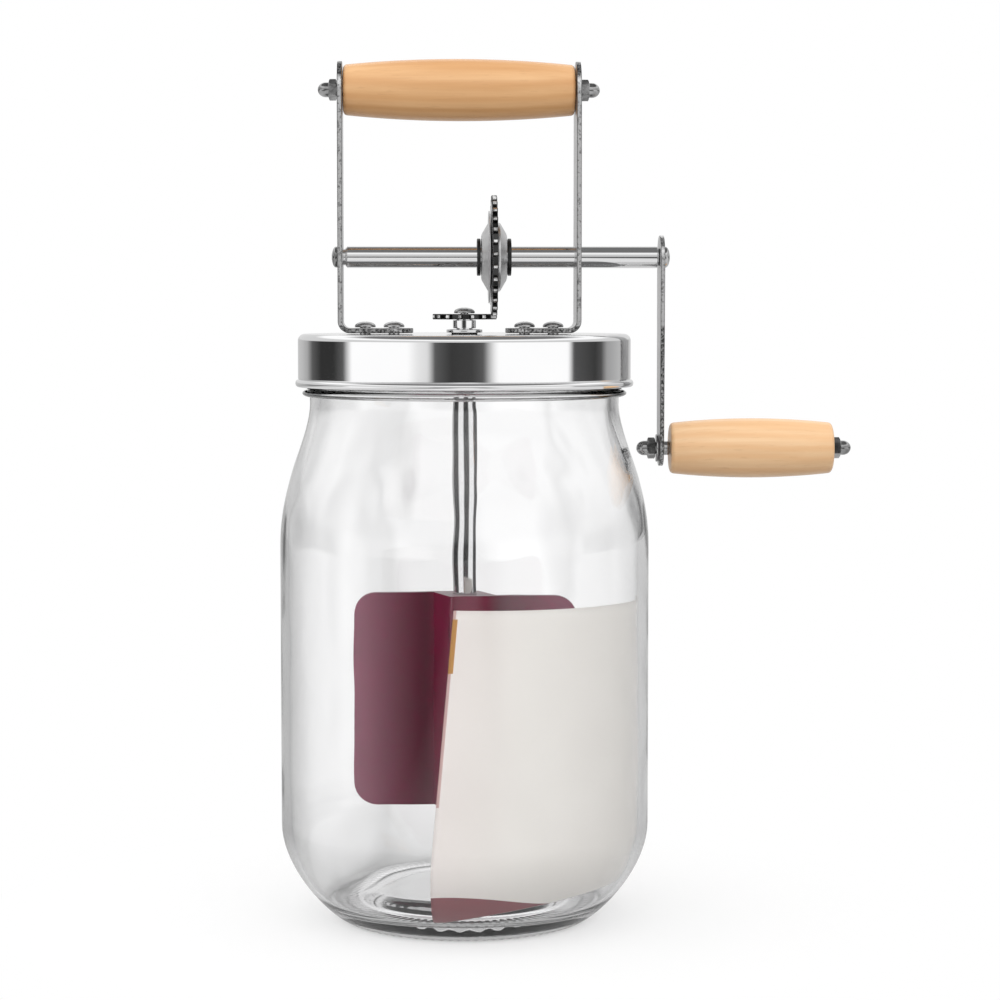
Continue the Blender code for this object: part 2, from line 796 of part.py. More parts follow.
def build_gear(steel, dark, crank):
    """The large thin gear with its coned hubs and retaining rings on the crank shaft."""
    bore = shaft_radius + part_gap
    root_radius = gear_tip_radius - mesh_depth - root_clearance
    outline = toothed_outline(gear_teeth, gear_tip_radius, root_radius, mesh_phase)
    mesh = plate_mesh("drive_gear", outline, [circle(bore, rod_steps)], gear_thickness)
    middle_x = (gear_left_x + gear_right_x) / 2
    add_piece("drive_gear", mesh, steel, (middle_x, 0, crank_z), crank, along_plus_x)
    cone = [(hub_cone_radius, 0), (hub_nose_radius, -hub_length), (bore, -hub_length), (bore, 0)]
    flange = [
        (bore, 0),
        (hub_flange_radius, 0),
        (hub_flange_radius, -hub_flange_thickness),
        (hub_cone_radius, -hub_flange_thickness),
        (hub_nose_radius, -hub_length),
        (bore, -hub_length),
    ]
    left_x = gear_left_x - part_gap
    right_x = gear_right_x + part_gap
    turned("gear_hub_left", flange, steel, grip_steps, (left_x, 0, crank_z), crank, along_plus_x, closed=True)
    turned("gear_hub_right", cone, steel, grip_steps, (right_x, 0, crank_z), crank, along_minus_x, closed=True)
    ring = ring_profile(bore, hub_ring_radius, 0, hub_ring_thickness)
    ring_left_x = left_x - hub_length - part_gap
    ring_right_x = right_x + hub_length + part_gap
    turned("hub_ring_left", ring, dark, rod_steps, (ring_left_x, 0, crank_z), crank, along_minus_x, closed=True)
    turned("hub_ring_right", ring, dark, rod_steps, (ring_right_x, 0, crank_z), crank, along_plus_x, closed=True)


def build_crank_arm(steel, bright, nut, crank):
    """The flat arm with the pin, spacer, washer and acorn nuts of its grip."""
    hub_spread = math.asin((arm_hub_radius - arm_tip_radius) / crank_radius)
    hub_end = arc((0, 0), (arm_hub_radius, arm_hub_radius), math.pi / 2 - hub_spread, math.pi * 3 / 2 + hub_spread, 14)
    tip_radii = (arm_tip_radius, arm_tip_radius)
    tip_end = arc((crank_radius, 0), tip_radii, -math.pi / 2 + hub_spread, math.pi / 2 - hub_spread, 12)
    holes = [
        flatted_circle(journal_radius + part_gap, journal_half_flat + part_gap, 8),
        circle(stud_radius + part_gap, small_steps, (crank_radius, 0)),
    ]
    mesh = plate_mesh("crank_arm", hub_end + tip_end, holes, arm_thickness)
    middle_x = (arm_left_x + arm_right_x) / 2
    add_piece("crank_arm", mesh, steel, (middle_x, 0, crank_z), crank, along_plus_x)
    washer_x = arm_left_x - part_gap
    washer = ring_profile(stud_radius + part_gap, crank_washer_radius, 0, crank_washer_thickness)
    turned(
        "crank_washer", washer, bright, rod_steps, (washer_x, 0, crank_grip_z), crank, along_minus_x, closed=True
    )
    inner_seat = washer_x - crank_washer_thickness - part_gap
    outer_seat = crank_grip_right_x + part_gap
    add_piece("crank_nut_inner", nut, bright, (inner_seat, 0, crank_grip_z), crank, along_minus_x)
    add_piece("crank_nut_outer", nut, bright, (outer_seat, 0, crank_grip_z), crank, along_plus_x)
    spacer = ring_profile(stud_radius + part_gap, pin_spacer_radius, 0, pin_spacer_length)
    spacer_place = (spacer_left_x, 0, crank_grip_z)
    turned("pin_spacer", spacer, bright, small_steps, spacer_place, crank, along_plus_x, closed=True)
    pin_reach = acorn_socket_depth - part_gap
    pin_length = outer_seat - inner_seat + pin_reach * 2
    pin = cylinder_mesh("crank_pin", stud_radius, pin_length, small_steps)
    add_piece("crank_pin", pin, bright, ((inner_seat + outer_seat) / 2, 0, crank_grip_z), crank, along_plus_x)


def build_crank_grip(wood, grip_axis):
    """The wooden crank grip, free to turn on its pin."""
    bore = stud_radius + running_clearance
    profile = grip_profile(crank_grip_length, crank_grip_mid_radius, crank_grip_end_radius, bore)
    middle = ((crank_grip_left_x + crank_grip_right_x) / 2, 0, crank_grip_z)
    turned("crank_grip", profile, wood, grip_steps, middle, grip_axis, along_plus_x, closed=True)


def build_bush(steel, lid):
    """The flanged bush through the lid and the nut that clamps it from below."""
    bore = journal_radius + running_clearance
    barrel_length = bush_flange_bottom - bush_bottom
    profile = [
        (bore, bush_flange_thickness),
        (bush_flange_radius, bush_flange_thickness),
        (bush_flange_radius, 0),
        (bush_barrel_radius, 0),
        (bush_barrel_radius, -barrel_length),
        (bore, -barrel_length),
    ]
    turned("lid_bush", profile, steel, rod_steps, (0, 0, bush_flange_bottom), lid, closed=True)
    nut = hex_nut_mesh("bush_nut", bush_nut_flats, bush_nut_thickness, bush_barrel_radius + part_gap)
    add_piece("bush_nut", nut, steel, (0, 0, bush_nut_top), lid)


def build_agitator(steel, bright, screw, agitator):
    """The stepped vertical shaft, with the sleeve, pinion and screw on its upper end."""
    hole = end_screw_radius + part_gap
    rod_bottom = socket_bottom + part_gap
    profile = [
        (0, pinion_top - end_screw_depth),
        (hole, pinion_top - end_screw_depth),
        (hole, pinion_top),
        (journal_radius, pinion_top),
        (journal_radius, rod_shoulder),
        (agitator_rod_radius, rod_shoulder),
        (agitator_rod_radius, rod_bottom),
        (0, rod_bottom),
    ]
    shaft = turned("agitator_shaft", profile, steel, rod_steps, (0, 0, 0), agitator)
    flat_length = pinion_top - sleeve_top + cut_overrun
    cut_flats(shaft, "agitator", (0, 0, sleeve_top + flat_length / 2), flat_length, (0, 0, 0))
    sleeve = ring_profile(journal_radius + part_gap, sleeve_radius, 0, sleeve_length)
    turned("pinion_sleeve", sleeve, steel, rod_steps, (0, 0, sleeve_bottom), agitator, closed=True)
    root_radius = pinion_tip_radius - mesh_reach - root_clearance
    gap_angle = mesh_phase * gear_teeth / pinion_teeth
    outline = toothed_outline(pinion_teeth, pinion_tip_radius, root_radius, gap_angle + math.pi / pinion_teeth)
    bore = flatted_circle(journal_radius + part_gap, journal_half_flat + part_gap, 8)
    mesh = plate_mesh("pinion", outline, [bore], pinion_thickness)
    add_piece("pinion", mesh, steel, (0, 0, (pinion_bottom + pinion_top) / 2), agitator)
    add_piece("pinion_screw", screw, bright, (0, 0, pinion_top + part_gap), agitator)


def blade_outline():
    """A blade from its root inside the hub to its two large outer corners, in its local XY plane."""
    half = paddle_height / 2
    corner = (blade_corner_radius, blade_corner_radius)
    centre_x = blade_reach - blade_corner_radius
    lower = arc((centre_x, -half + blade_corner_radius), corner, -math.pi / 2, 0, 7)
    upper = arc((centre_x, half - blade_corner_radius), corner, 0, math.pi / 2, 7)
    return [(blade_root, half), (blade_root, -half)] + lower + upper


def build_paddle(plastic, agitator):
    """The moulded paddle: a square hub turned about the shaft, with two blades set off to either side."""
    middle_z = (paddle_bottom + paddle_top) / 2
    hub_mesh = box_mesh("paddle", (paddle_hub_side, paddle_hub_side, paddle_height))
    work = bmesh.new()
    work.from_mesh(hub_mesh)
    upright = [edge for edge in work.edges if abs(edge.verts[0].co.z - edge.verts[1].co.z) > paddle_height / 2]
    bmesh.ops.bevel(work, geom=upright, offset=paddle_hub_round, segments=3, profile=0.5, affect="EDGES")
    work.to_mesh(hub_mesh)
    work.free()
    hub = add_piece("paddle", hub_mesh, plastic, (0, 0, middle_z), agitator, (0, 0, paddle_hub_turn))
    for index, side in enumerate((1, -1)):
        blade = plate_mesh("blade", blade_outline(), [], blade_thickness)
        turn_about_z = 0 if side == 1 else math.pi
        place_y = -side * blade_offset
        joined = add_cutter("blade_" + str(index + 1), blade, (0, place_y, middle_z), (math.pi / 2, 0, turn_about_z))
        boolean(hub, joined, "UNION")
    socket = cylinder_mesh("socket", agitator_rod_radius + part_gap, paddle_socket_depth + cut_overrun, rod_steps)
    socket_middle = socket_bottom + (paddle_socket_depth + cut_overrun) / 2
    boolean(hub, add_cutter("paddle_socket", socket, (0, 0, socket_middle)))


def build_churn():
    """Builds every sub-part under the empties of its moving body."""
    glass = material("clear_glass", (0.90, 0.94, 0.93), 0.03, alpha=0.35)
    polished = material("polished_steel", (0.70, 0.70, 0.71), 0.12, metallic=1.0)
    strap_steel = material("strap_steel", (0.62, 0.62, 0.64), 0.25, metallic=1.0)
    bright = material("bright_hardware", (0.55, 0.55, 0.57), 0.18, metallic=1.0)
    dark = material("dark_ring", (0.05, 0.05, 0.05), 0.45, metallic=0.6)
    wood = material("turned_wood", (0.83, 0.58, 0.32), 0.50)
    plastic = material("burgundy_plastic", (0.16, 0.02, 0.05), 0.30)
    rubber = material("seal_rubber", (0.80, 0.80, 0.78), 0.60)
    paper = material("bare_paper", (0.86, 0.85, 0.82), 0.70)
    lift = axis_empty("lid_lift_axis", (0, 0, seal_bottom))
    lid = axis_empty("lid_turn_axis", (0, 0, lid_underside), lift)
    top_grip_axis = axis_empty("top_grip_axis", (bracket_centre_x, 0, top_grip_z), lid)
    crank = axis_empty("crank_axis", (0, 0, crank_z), lid)
    crank_grip_axis = axis_empty("crank_grip_axis", (crank_grip_left_x, 0, crank_grip_z), crank)
    agitator = axis_empty("agitator_axis", (0, 0, pinion_bottom), lid)
    build_jar(glass)
    build_card(paper)
    build_lid(polished, rubber, lift, lid)
    build_brackets(strap_steel, bright, lid)
    nut = build_top_grip(wood, bright, lid, top_grip_axis)
    screw = build_crank_shaft(polished, bright, crank)
    build_gear(strap_steel, dark, crank)
    build_crank_arm(strap_steel, bright, nut, crank)
    build_crank_grip(wood, crank_grip_axis)
    build_bush(polished, lid)
    build_agitator(polished, bright, screw, agitator)
    build_paddle(plastic, agitator)


build_churn()
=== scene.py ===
# %% [markdown]
# A hand-cranked butter churn: a clear glass jar, a steel screw lid, two bent straps, a geared crank, a
# burgundy paddle and two turned beech grips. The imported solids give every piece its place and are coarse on
# purpose, so each visible piece is modelled again with finer steps, eased edges and a finish of its own.
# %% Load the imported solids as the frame
import json
import math

import bmesh
import bpy
from mathutils import Matrix, Vector, noise


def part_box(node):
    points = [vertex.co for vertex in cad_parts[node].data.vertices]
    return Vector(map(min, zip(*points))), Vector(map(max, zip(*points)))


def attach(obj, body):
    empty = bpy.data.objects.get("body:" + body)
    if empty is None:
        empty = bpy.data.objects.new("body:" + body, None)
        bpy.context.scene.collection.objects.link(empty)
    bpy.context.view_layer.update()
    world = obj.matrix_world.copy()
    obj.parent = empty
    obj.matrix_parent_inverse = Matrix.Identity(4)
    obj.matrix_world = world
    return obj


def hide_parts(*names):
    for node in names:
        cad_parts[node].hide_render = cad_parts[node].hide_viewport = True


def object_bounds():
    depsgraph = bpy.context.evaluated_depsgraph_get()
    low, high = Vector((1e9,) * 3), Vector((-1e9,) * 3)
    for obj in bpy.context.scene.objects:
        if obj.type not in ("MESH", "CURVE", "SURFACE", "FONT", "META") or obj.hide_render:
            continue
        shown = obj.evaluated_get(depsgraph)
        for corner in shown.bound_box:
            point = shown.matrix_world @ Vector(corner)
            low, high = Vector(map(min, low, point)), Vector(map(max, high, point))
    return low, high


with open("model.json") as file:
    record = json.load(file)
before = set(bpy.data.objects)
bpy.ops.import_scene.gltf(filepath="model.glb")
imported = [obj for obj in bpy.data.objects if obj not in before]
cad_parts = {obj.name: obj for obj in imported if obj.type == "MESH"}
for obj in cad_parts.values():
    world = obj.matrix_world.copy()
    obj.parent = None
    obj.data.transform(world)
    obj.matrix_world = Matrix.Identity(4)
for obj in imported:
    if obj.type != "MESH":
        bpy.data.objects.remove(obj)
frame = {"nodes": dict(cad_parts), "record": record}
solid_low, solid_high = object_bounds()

body_of = {node: body for body, nodes in frame["record"]["behaviour"]["bodies"].items() for node in nodes}
size_in_mm = [round((high - low) * 1000, 1) for low, high in zip(solid_low, solid_high)]
print("solids:", len(body_of), "size in mm:", size_in_mm)


# %% [markdown]
# Lengths are easier to read in millimetres, and colours in the everyday 0 to 255 numbers. Blender wants metres
# and linear light, so small helpers translate.
# %% Units
mm = 0.001
weld = 0.004 * mm


def tone(red, green, blue):
    """An everyday colour as linear light, with full alpha."""
    return (*(((level / 255 + 0.055) / 1.055) ** 2.4 for level in (red, green, blue)), 1)


def grey(level):
    """A plain grey in linear light."""
    return (level, level, level, 1)


def middle(node):
    """The centre of a solid's box."""
    low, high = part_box(node)
    return (Vector(low) + Vector(high)) / 2


def ends(node, axis):
    """How far a solid goes along an axis, at its low and at its high end."""
    low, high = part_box(node)
    return low[axis], high[axis]


def length_of(node, axis):
    """How long a solid is along an axis."""
    low, high = ends(node, axis)
    return high - low


X, Y, Z = 0, 1, 2
print("the jar is", round(length_of("glass_jar", X) / mm, 1), "mm across")


# %% [markdown]
# Most of the churn is turned, so a profile spun about Z makes it. Spin leaves doubled points at the seam and
# at the poles, and they are merged before the normals are worked out.
# %% Turning a profile
def curve_points(start, first_pull, second_pull, end, count):
    """Points on a cubic curve, its two ends included."""
    knots = [Vector(knot) for knot in (start, first_pull, second_pull, end)]
    points = []
    for index in range(count + 1):
        share = index / count
        rest = 1 - share
        weights = (rest**3, 3 * rest**2 * share, 3 * rest * share**2, share**3)
        points.append(tuple(sum((knot * weight for knot, weight in zip(knots, weights)), Vector((0, 0)))))
    return points


def arc(centre, radii, start, end, count):
    """Points on an ellipse's arc, in degrees, its two ends included."""
    points = []
    for index in range(count + 1):
        angle = math.radians(start + (end - start) * index / count)
        points.append((centre[0] + radii[0] * math.cos(angle), centre[1] + radii[1] * math.sin(angle)))
    return points


def dotted(points, spacing):
    """The same line with more points, so that no span is longer than the spacing."""
    dense = [points[0]]
    for first, second in zip(points, points[1:]):
        count = max(1, math.ceil(math.dist(first, second) / spacing))
        for index in range(1, count + 1):
            share = index / count
            dense.append((first[0] + (second[0] - first[0]) * share, first[1] + (second[1] - first[1]) * share))
    return dense


def turned(profile, steps=96, closed=False):
    """Spins (radius, height) points a full circle about Z."""
    shape = bmesh.new()
    points = [shape.verts.new((radius, 0, height)) for radius, height in profile]
    edges = [shape.edges.new(pair) for pair in zip(points, points[1:])]
    if closed:
        edges.append(shape.edges.new((points[-1], points[0])))
    bmesh.ops.spin(
        shape, geom=points + edges, axis=(0, 0, 1), cent=(0, 0, 0), angle=math.tau, steps=steps, use_merge=True
    )
    bmesh.ops.remove_doubles(shape, verts=shape.verts, dist=weld)
    bmesh.ops.recalc_face_normals(shape, faces=shape.faces)
    return shape


# %% [markdown]
# Real edges are never perfectly sharp: a bent strap, a nut or a moulded blade catches a thin line of light on
# each corner. A narrow bevel gives that line, and only edges where the surface really turns get one.
# %% Easing edges
def eased(shape, width, segments=2, sharper_than=35, keep_upright=False):
    """Bevels the edges that turn by more than an angle in degrees."""
    limit = math.radians(sharper_than)
    chosen = []
    for edge in shape.edges:
        if len(edge.link_faces) != 2 or edge.calc_face_angle() < limit:
            continue
        rise = abs(edge.verts[0].co.z - edge.verts[1].co.z)
        if keep_upright and rise > edge.calc_length() / 2:
            continue
        chosen.append(edge)
    bmesh.ops.bevel(
        shape, geom=chosen, offset=width, segments=segments, profile=0.5, affect="EDGES", material=-1,
        clamp_overlap=True,
    )
    return shape


def laid(shape, towards, place):
    """Turns a shape's local +Z towards a direction and moves its origin to a place."""
    turn = Vector((0, 0, 1)).rotation_difference(Vector(towards)).to_matrix().to_4x4()
    bmesh.ops.transform(shape, matrix=Matrix.Translation(place) @ turn, verts=shape.verts)
    return shape


right, left, up = (1, 0, 0), (-1, 0, 0), (0, 0, 1)


# %% [markdown]
# A finished piece keeps its place in its mesh, with its object at the origin, as the solids do. Weighted
# normals keep the flats flat and let the bevels look round. The piece rides on the body of its solid.
# %% Dressing a solid
dressed = []


def as_object(name, shape):
    """Makes a shape into an object in the scene."""
    mesh = bpy.data.meshes.new(name)
    shape.to_mesh(mesh)
    shape.free()
    made = bpy.data.objects.new(name, mesh)
    bpy.context.scene.collection.objects.link(made)
    return made


def dress(name, shape, look, node, sharp=40):
    """Makes a shape into a piece with a finish that stands for a solid."""
    piece = as_object(name, shape)
    piece.data.shade_smooth()
    piece.data.set_sharp_from_angle(angle=math.radians(sharp))
    piece.data.materials.append(look.material)
    piece.modifiers.new("weighted_normals", "WEIGHTED_NORMAL").keep_sharp = True
    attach(piece, body_of[node])
    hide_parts(node)
    dressed.append(piece)
    return piece


# %% [markdown]
# A finish is a small program of nodes. Written as plain arithmetic it stays readable: a Wire is one socket,
# and adding, multiplying or comparing wires adds the Math nodes.
# %% Shader arithmetic
class Wire:
    """One output socket, on which ordinary arithmetic adds Math nodes."""

    def __init__(self, book, socket):
        self.book = book
        self.socket = socket

    def maths(self, operation, *others):
        """A Math node whose first input is this socket."""
        return self.book.node("ShaderNodeMath", {"operation": operation}, dict(enumerate((self, *others))))

    def __rsub__(self, other):
        return self.book.node("ShaderNodeMath", {"operation": "SUBTRACT"}, {0: other, 1: self})

    def operator(operation):
        """An operator that adds one Math node."""
        return lambda wire, other: wire.maths(operation, other)

    __add__ = __radd__ = operator("ADD")
    __sub__ = operator("SUBTRACT")
    __mul__ = __rmul__ = operator("MULTIPLY")
    __truediv__ = operator("DIVIDE")
    __pow__ = operator("POWER")
    __lt__ = operator("LESS_THAN")
    __gt__ = operator("GREATER_THAN")


def from_axis(first, second):
    """How far a point is from an axis, by its two coordinates across it."""
    return (first * first + second * second) ** 0.5


class NodeBook:
    """A node tree under construction."""

    def __init__(self, tree):
        self.tree = tree

    def plug(self, target, value):
        if isinstance(value, Wire):
            self.tree.links.new(value.socket, target)
        else:
            target.default_value = value

    def node(self, kind, settings=(), sockets=(), output=0):
        """Adds any node: its settings first, then the values or links of its sockets."""
        made = self.tree.nodes.new(kind)
        for name, value in dict(settings).items():
            if name != "stops":
                setattr(made, name, value)
                continue
            ramp = made.color_ramp
            for index, (position, colour) in enumerate(value):
                stop = ramp.elements[index] if index < 2 else ramp.elements.new(position)
                stop.position = position
                stop.color = colour if isinstance(colour, tuple) else grey(colour)
        for key, value in dict(sockets).items():
            self.plug(made.inputs[key], value)
        return Wire(self, made.outputs[output])

    def blend(self, factor, first, second, mode="MIX"):
        """Mixes two colours."""
        settings = {"data_type": "RGBA", "blend_type": mode}
        return self.node("ShaderNodeMix", settings, {0: factor, 6: first, 7: second}, 2)

    def ramp(self, value, stops):
        """A colour or grey that follows a value."""
        return self.node("ShaderNodeValToRGB", {"stops": stops}, {"Fac": value})

    def parts(self, vector):
        """The X, Y and Z of a vector."""
        split = self.node("ShaderNodeSeparateXYZ", (), {0: vector}).socket.node
        return [Wire(self, socket) for socket in split.outputs]

    def rays(self, *names):
        """Outputs of the Light Path node, such as Is Camera Ray."""
        path = self.node("ShaderNodeLightPath").socket.node
        return [Wire(self, path.outputs[name]) for name in names]


class Finish(NodeBook):
    """A material whose Principled shader is fed by wires."""

    def __init__(self, name, **constants):
        self.material = bpy.data.materials.new(name)
        self.material.use_nodes = True
        super().__init__(self.material.node_tree)
        self.shader = self.tree.nodes["Principled BSDF"]
        self.place = self.node("ShaderNodeTexCoord", output="Object")
        self.feed(**constants)

    def feed(self, **values):
        """Sets or links sockets of the Principled shader by name, with _ for a space."""
        for name, value in values.items():
            self.plug(self.shader.inputs[name.replace("_", " ")], value)

    def grain(self, scale, detail=3.0, roughness=0.55, vector=None):
        """Plain noise from 0 to 1, about the place or another vector."""
        sockets = {"Vector": vector or self.place, "Scale": scale, "Detail": detail, "Roughness": roughness}
        return self.node("ShaderNodeTexNoise", (), sockets)

    def mapped(self, shift=(0, 0, 0), scale=(1, 1, 1), vector=None):
        """The place or another vector, moved and scaled."""
        sockets = {"Vector": vector or self.place, "Location": shift, "Scale": scale}
        return self.node("ShaderNodeMapping", (), sockets)

    def about_axis(self, along_x, shift=(0, 0, 0)):
        """A point's place along an axis, X or else Z, and its distance from it."""
        x, y, z = self.parts(self.mapped(shift))
        return (x, from_axis(y, z)) if along_x else (z, from_axis(x, y))

    def relief(self, height, distance, strength=1.0):
        """A bump of a height from 0 to 1 over a distance."""
        sockets = {"Height": height, "Distance": distance, "Strength": strength}
        self.feed(Normal=self.node("ShaderNodeBump", (), sockets))


# %% [markdown]
# The jar is pressed from clear soda glass, whose skin is never quite even, so it gets a very faint ripple.
# A Principled shader with full transmission bends the light. The colour stays almost white, because it
# multiplies at every wall that a ray passes.
# %% Finish: clear glass
glass = Finish("glass_clear", Transmission_Weight=1.0, IOR=1.5, Roughness=0.0, Base_Color=(0.993, 0.993, 0.995, 1))
glass.relief(glass.grain(55.0, 1.0), 0.012 * mm)

# %% [markdown]
# The lid is bright polished sheet. Polishing on a lathe leaves hairlines round the axis, so the noise is read
# from the distance to the axis and the height only, and it barely changes the roughness. The bands that the
# lid shows are reflections, not paint.
# %% Finish: polished steel
def polished_steel(name, about_x=False, level=0.80, shift=(0, 0, 0)):
    """Turned and polished steel, its hairlines round Z or round X."""
    steel = Finish(name, Metallic=1.0)
    height, radius = steel.about_axis(about_x, shift)
    lines = steel.node("ShaderNodeCombineXYZ", (), {0: radius * 6.0, 1: height * 6.0})
    hairline = steel.grain(900.0, 5.0, 0.7, lines)
    cloud = steel.grain(45.0, 2.0)
    steel.feed(
        Base_Color=steel.blend(cloud, (level * 0.96, level * 0.96, level * 0.97, 1), grey(level)),
        Roughness=0.03 + hairline * 0.03 + cloud * 0.015,
    )
    steel.relief(hairline, 0.001 * mm, 0.25)
    return steel


lid_look = polished_steel("steel_lid")
rod_look = polished_steel("steel_rod", level=0.74)

# %% [markdown]
# The straps and the arm are galvanised strip. Its zinc has a fine mottled grain, and the cut edge is gritty. Painted
# shade darkens the cut edge along its corners and at the strap ends. A stamped plate's UV map tells where: U runs
# through the sheet and V is 1 on a cut edge.
# %% Finish: satin strip steel
strip = Finish("steel_strip", Metallic=1.0)
speck = strip.grain(1400.0, 3.0, 0.7)
mottle = strip.grain(260.0, 3.0, 0.6)
through_sheet, cut_edge, _ = strip.parts(strip.node("ShaderNodeTexCoord", output="UV"))
on_edge = cut_edge > 0.3
near_corner = (through_sheet - 0.5).maths("ABSOLUTE") > 0.34
painted_shade = grey(0.05)
zinc = strip.ramp(mottle, [(0.25, 0.52), (0.75, 0.68)])
zinc = strip.blend(on_edge, zinc, strip.ramp(strip.grain(1000.0, 2.0), [(0.36, 0.34), (0.50, 0.76)]))
_, _, strip_z = strip.parts(strip.place)
# Painted shade, broken up by noise, darkens the cut edge at the strap feet next to the lid and at the strap tops.
at_ends = (strip_z < ends("lid_cap", Z)[1] + 3 * mm) + (strip_z > middle("top_grip").z + 5 * mm)
shade_speckle = strip.ramp(strip.grain(1300.0, 2.0), [(0.40, 0.95), (0.60, 0.25)])
zinc = strip.blend(on_edge * at_ends * shade_speckle, zinc, painted_shade)
# Painted shade also runs along the corners of every cut edge.
zinc = strip.blend(on_edge * near_corner * 0.8, zinc, painted_shade)
strip.feed(Base_Color=zinc, Roughness=0.20 + speck * 0.18 + mottle * 0.08)
strip.relief(speck * 0.6 + mottle * 0.4, 0.03 * mm, 0.5)

# %% [markdown]
# The gears are punched from thicker plate. Their teeth are painted dark as shade, and the lands at the tips get a
# painted highlight in the middle, by the distance from the gear's axis and from its mid plane.
# %% Finish: gear steel
def gear_steel(name, node, about_x, land_radius, land_half):
    """Satin plate with teeth painted dark as shade and a painted highlight on the lands, about a gear's own centre."""
    steel = Finish(name, Metallic=1.0)
    along, radius = steel.about_axis(about_x, tuple(-middle(node)))
    wear_and_glint = steel.grain(900.0, 2.0)
    # Painted shade darkens the teeth, and a painted highlight, mottled by noise, brightens the middle of the lands.
    land = (radius > land_radius) * (along.maths("ABSOLUTE") < land_half)
    blackened = radius > land_radius - 1.9 * mm
    tint = steel.blend(blackened, (0.50, 0.50, 0.51, 1), grey(0.06))
    tint = steel.blend(land, tint, steel.ramp(wear_and_glint, [(0.35, 0.45), (0.55, 0.85)]))
    steel.feed(Base_Color=tint, Roughness=0.22 + wear_and_glint * 0.15)
    steel.relief(wear_and_glint, 0.02 * mm, 0.4)
    return steel


# %% [markdown]
# Screws and acorn nuts are barrel plated: bright, but with tiny dents and softer patches.
# %% Finish: plated hardware and blackened rings
plated = Finish("steel_plated", Metallic=1.0)
dent = plated.grain(700.0, 2.0)
patch = plated.grain(180.0, 2.0)
plated.feed(Base_Color=plated.ramp(patch, [(0.35, 0.20), (0.65, 0.54)]), Roughness=0.06 + dent * 0.10 + patch * 0.05)
plated.relief(dent, 0.04 * mm, 0.5)

black = Finish("steel_blackened", Metallic=0.7)
oil = black.grain(500.0)
black.feed(Base_Color=black.ramp(oil, [(0.3, 0.018), (0.7, 0.05)]), Roughness=0.30 + oil * 0.25)
black.relief(oil, 0.02 * mm, 0.4)

# %% [markdown]
# Both grips are turned from beech and lacquered. Beech is pale and even, with slow growth bands and short dark
# flecks along the grain. The bands are the distance from a pith line beside the grip, bent a little by noise,
# so they run into long arches on the turned surface as in real wood.
# %% Finish: lacquered beech
ring_spacing = 4.2 * mm


def beech(name, place, pith, light, dark):
    """Beech whose grain runs along X, centred on a grip, between a light and a dark tone."""
    wood = Finish(name, Coat_IOR=1.45, Coat_Roughness=0.22, Coat_Weight=0.5)
    local = wood.mapped(tuple(-Vector(place)))

    def along_grain(stretch, *noise_values):
        return wood.grain(*noise_values, vector=wood.mapped(scale=(stretch, 1, 1), vector=local))

    warp = along_grain(0.12, 90.0, 2.0) - 0.5
    _, along_y, along_z = wood.parts(local)
    to_pith = from_axis(along_y - pith[0] + warp * 0.008, along_z - pith[1] + warp * 0.008)
    band = (to_pith * (math.tau / ring_spacing) + warp * 2.5).maths("SINE")
    streak = along_grain(0.025, 420.0, 3.0, 0.6)
    deep = wood.blend(1.0, dark, (0.86, 0.78, 0.70, 1), "MULTIPLY")
    streaked = wood.blend((streak - 0.35) * 1.2, wood.blend(band * 0.4 + 0.4, light, dark), deep)
    flecks = wood.ramp(along_grain(0.10, 1500.0, 1.0), [(0.64, 0.0), (0.74, 1.0)])
    wood.feed(Base_Color=wood.blend(flecks * 0.14, streaked, tone(186, 124, 74)), Roughness=0.42 + streak * 0.16)
    wood.relief(streak * 0.6 + flecks * -0.4, 0.03 * mm, 0.35)
    return wood


# %% [markdown]
# The paddle is burgundy plastic with a soft sheen. The thick hub is deep red, painted shade darkens the blades next to
# it, and a painted sheen pales the blades to mauve towards their outer edges.
# %% Finish: burgundy plastic
burgundy = Finish("plastic_burgundy", IOR=1.5, Coat_Weight=0.2, Coat_Roughness=0.12)
flow = burgundy.grain(60.0, vector=burgundy.mapped(scale=(1, 1, 0.4)))
skin = burgundy.grain(1800.0, 2.0)
blade_x, blade_y, _ = burgundy.parts(burgundy.place)
outward = from_axis(blade_x, blade_y) / (42 * mm)
# Over the plastic's own red, this ramp paints shade just outside the hub and a sheen towards the blade edges.
tint_shade_and_sheen = burgundy.ramp(
    outward, [(0.26, tone(116, 4, 52)), (0.36, tone(84, 4, 38)), (0.62, tone(108, 12, 54)), (1.0, tone(140, 42, 84))]
)
burgundy.feed(
    Base_Color=burgundy.blend(flow * 0.5, tint_shade_and_sheen, tone(70, 4, 30)),
    Roughness=0.24 + flow * 0.08 + skin * 0.04,
)
burgundy.relief(skin, 0.001 * mm, 0.2)

# %% [markdown]
# The seal is soft white rubber, slightly chalky.
# %% Finish: seal rubber
rubber = Finish("rubber_white")
chalk = rubber.grain(900.0)
rubber.feed(Base_Color=rubber.blend(chalk, tone(228, 226, 218), tone(208, 206, 198)), Roughness=0.6 + chalk * 0.2)
rubber.relief(chalk, 0.02 * mm, 0.5)

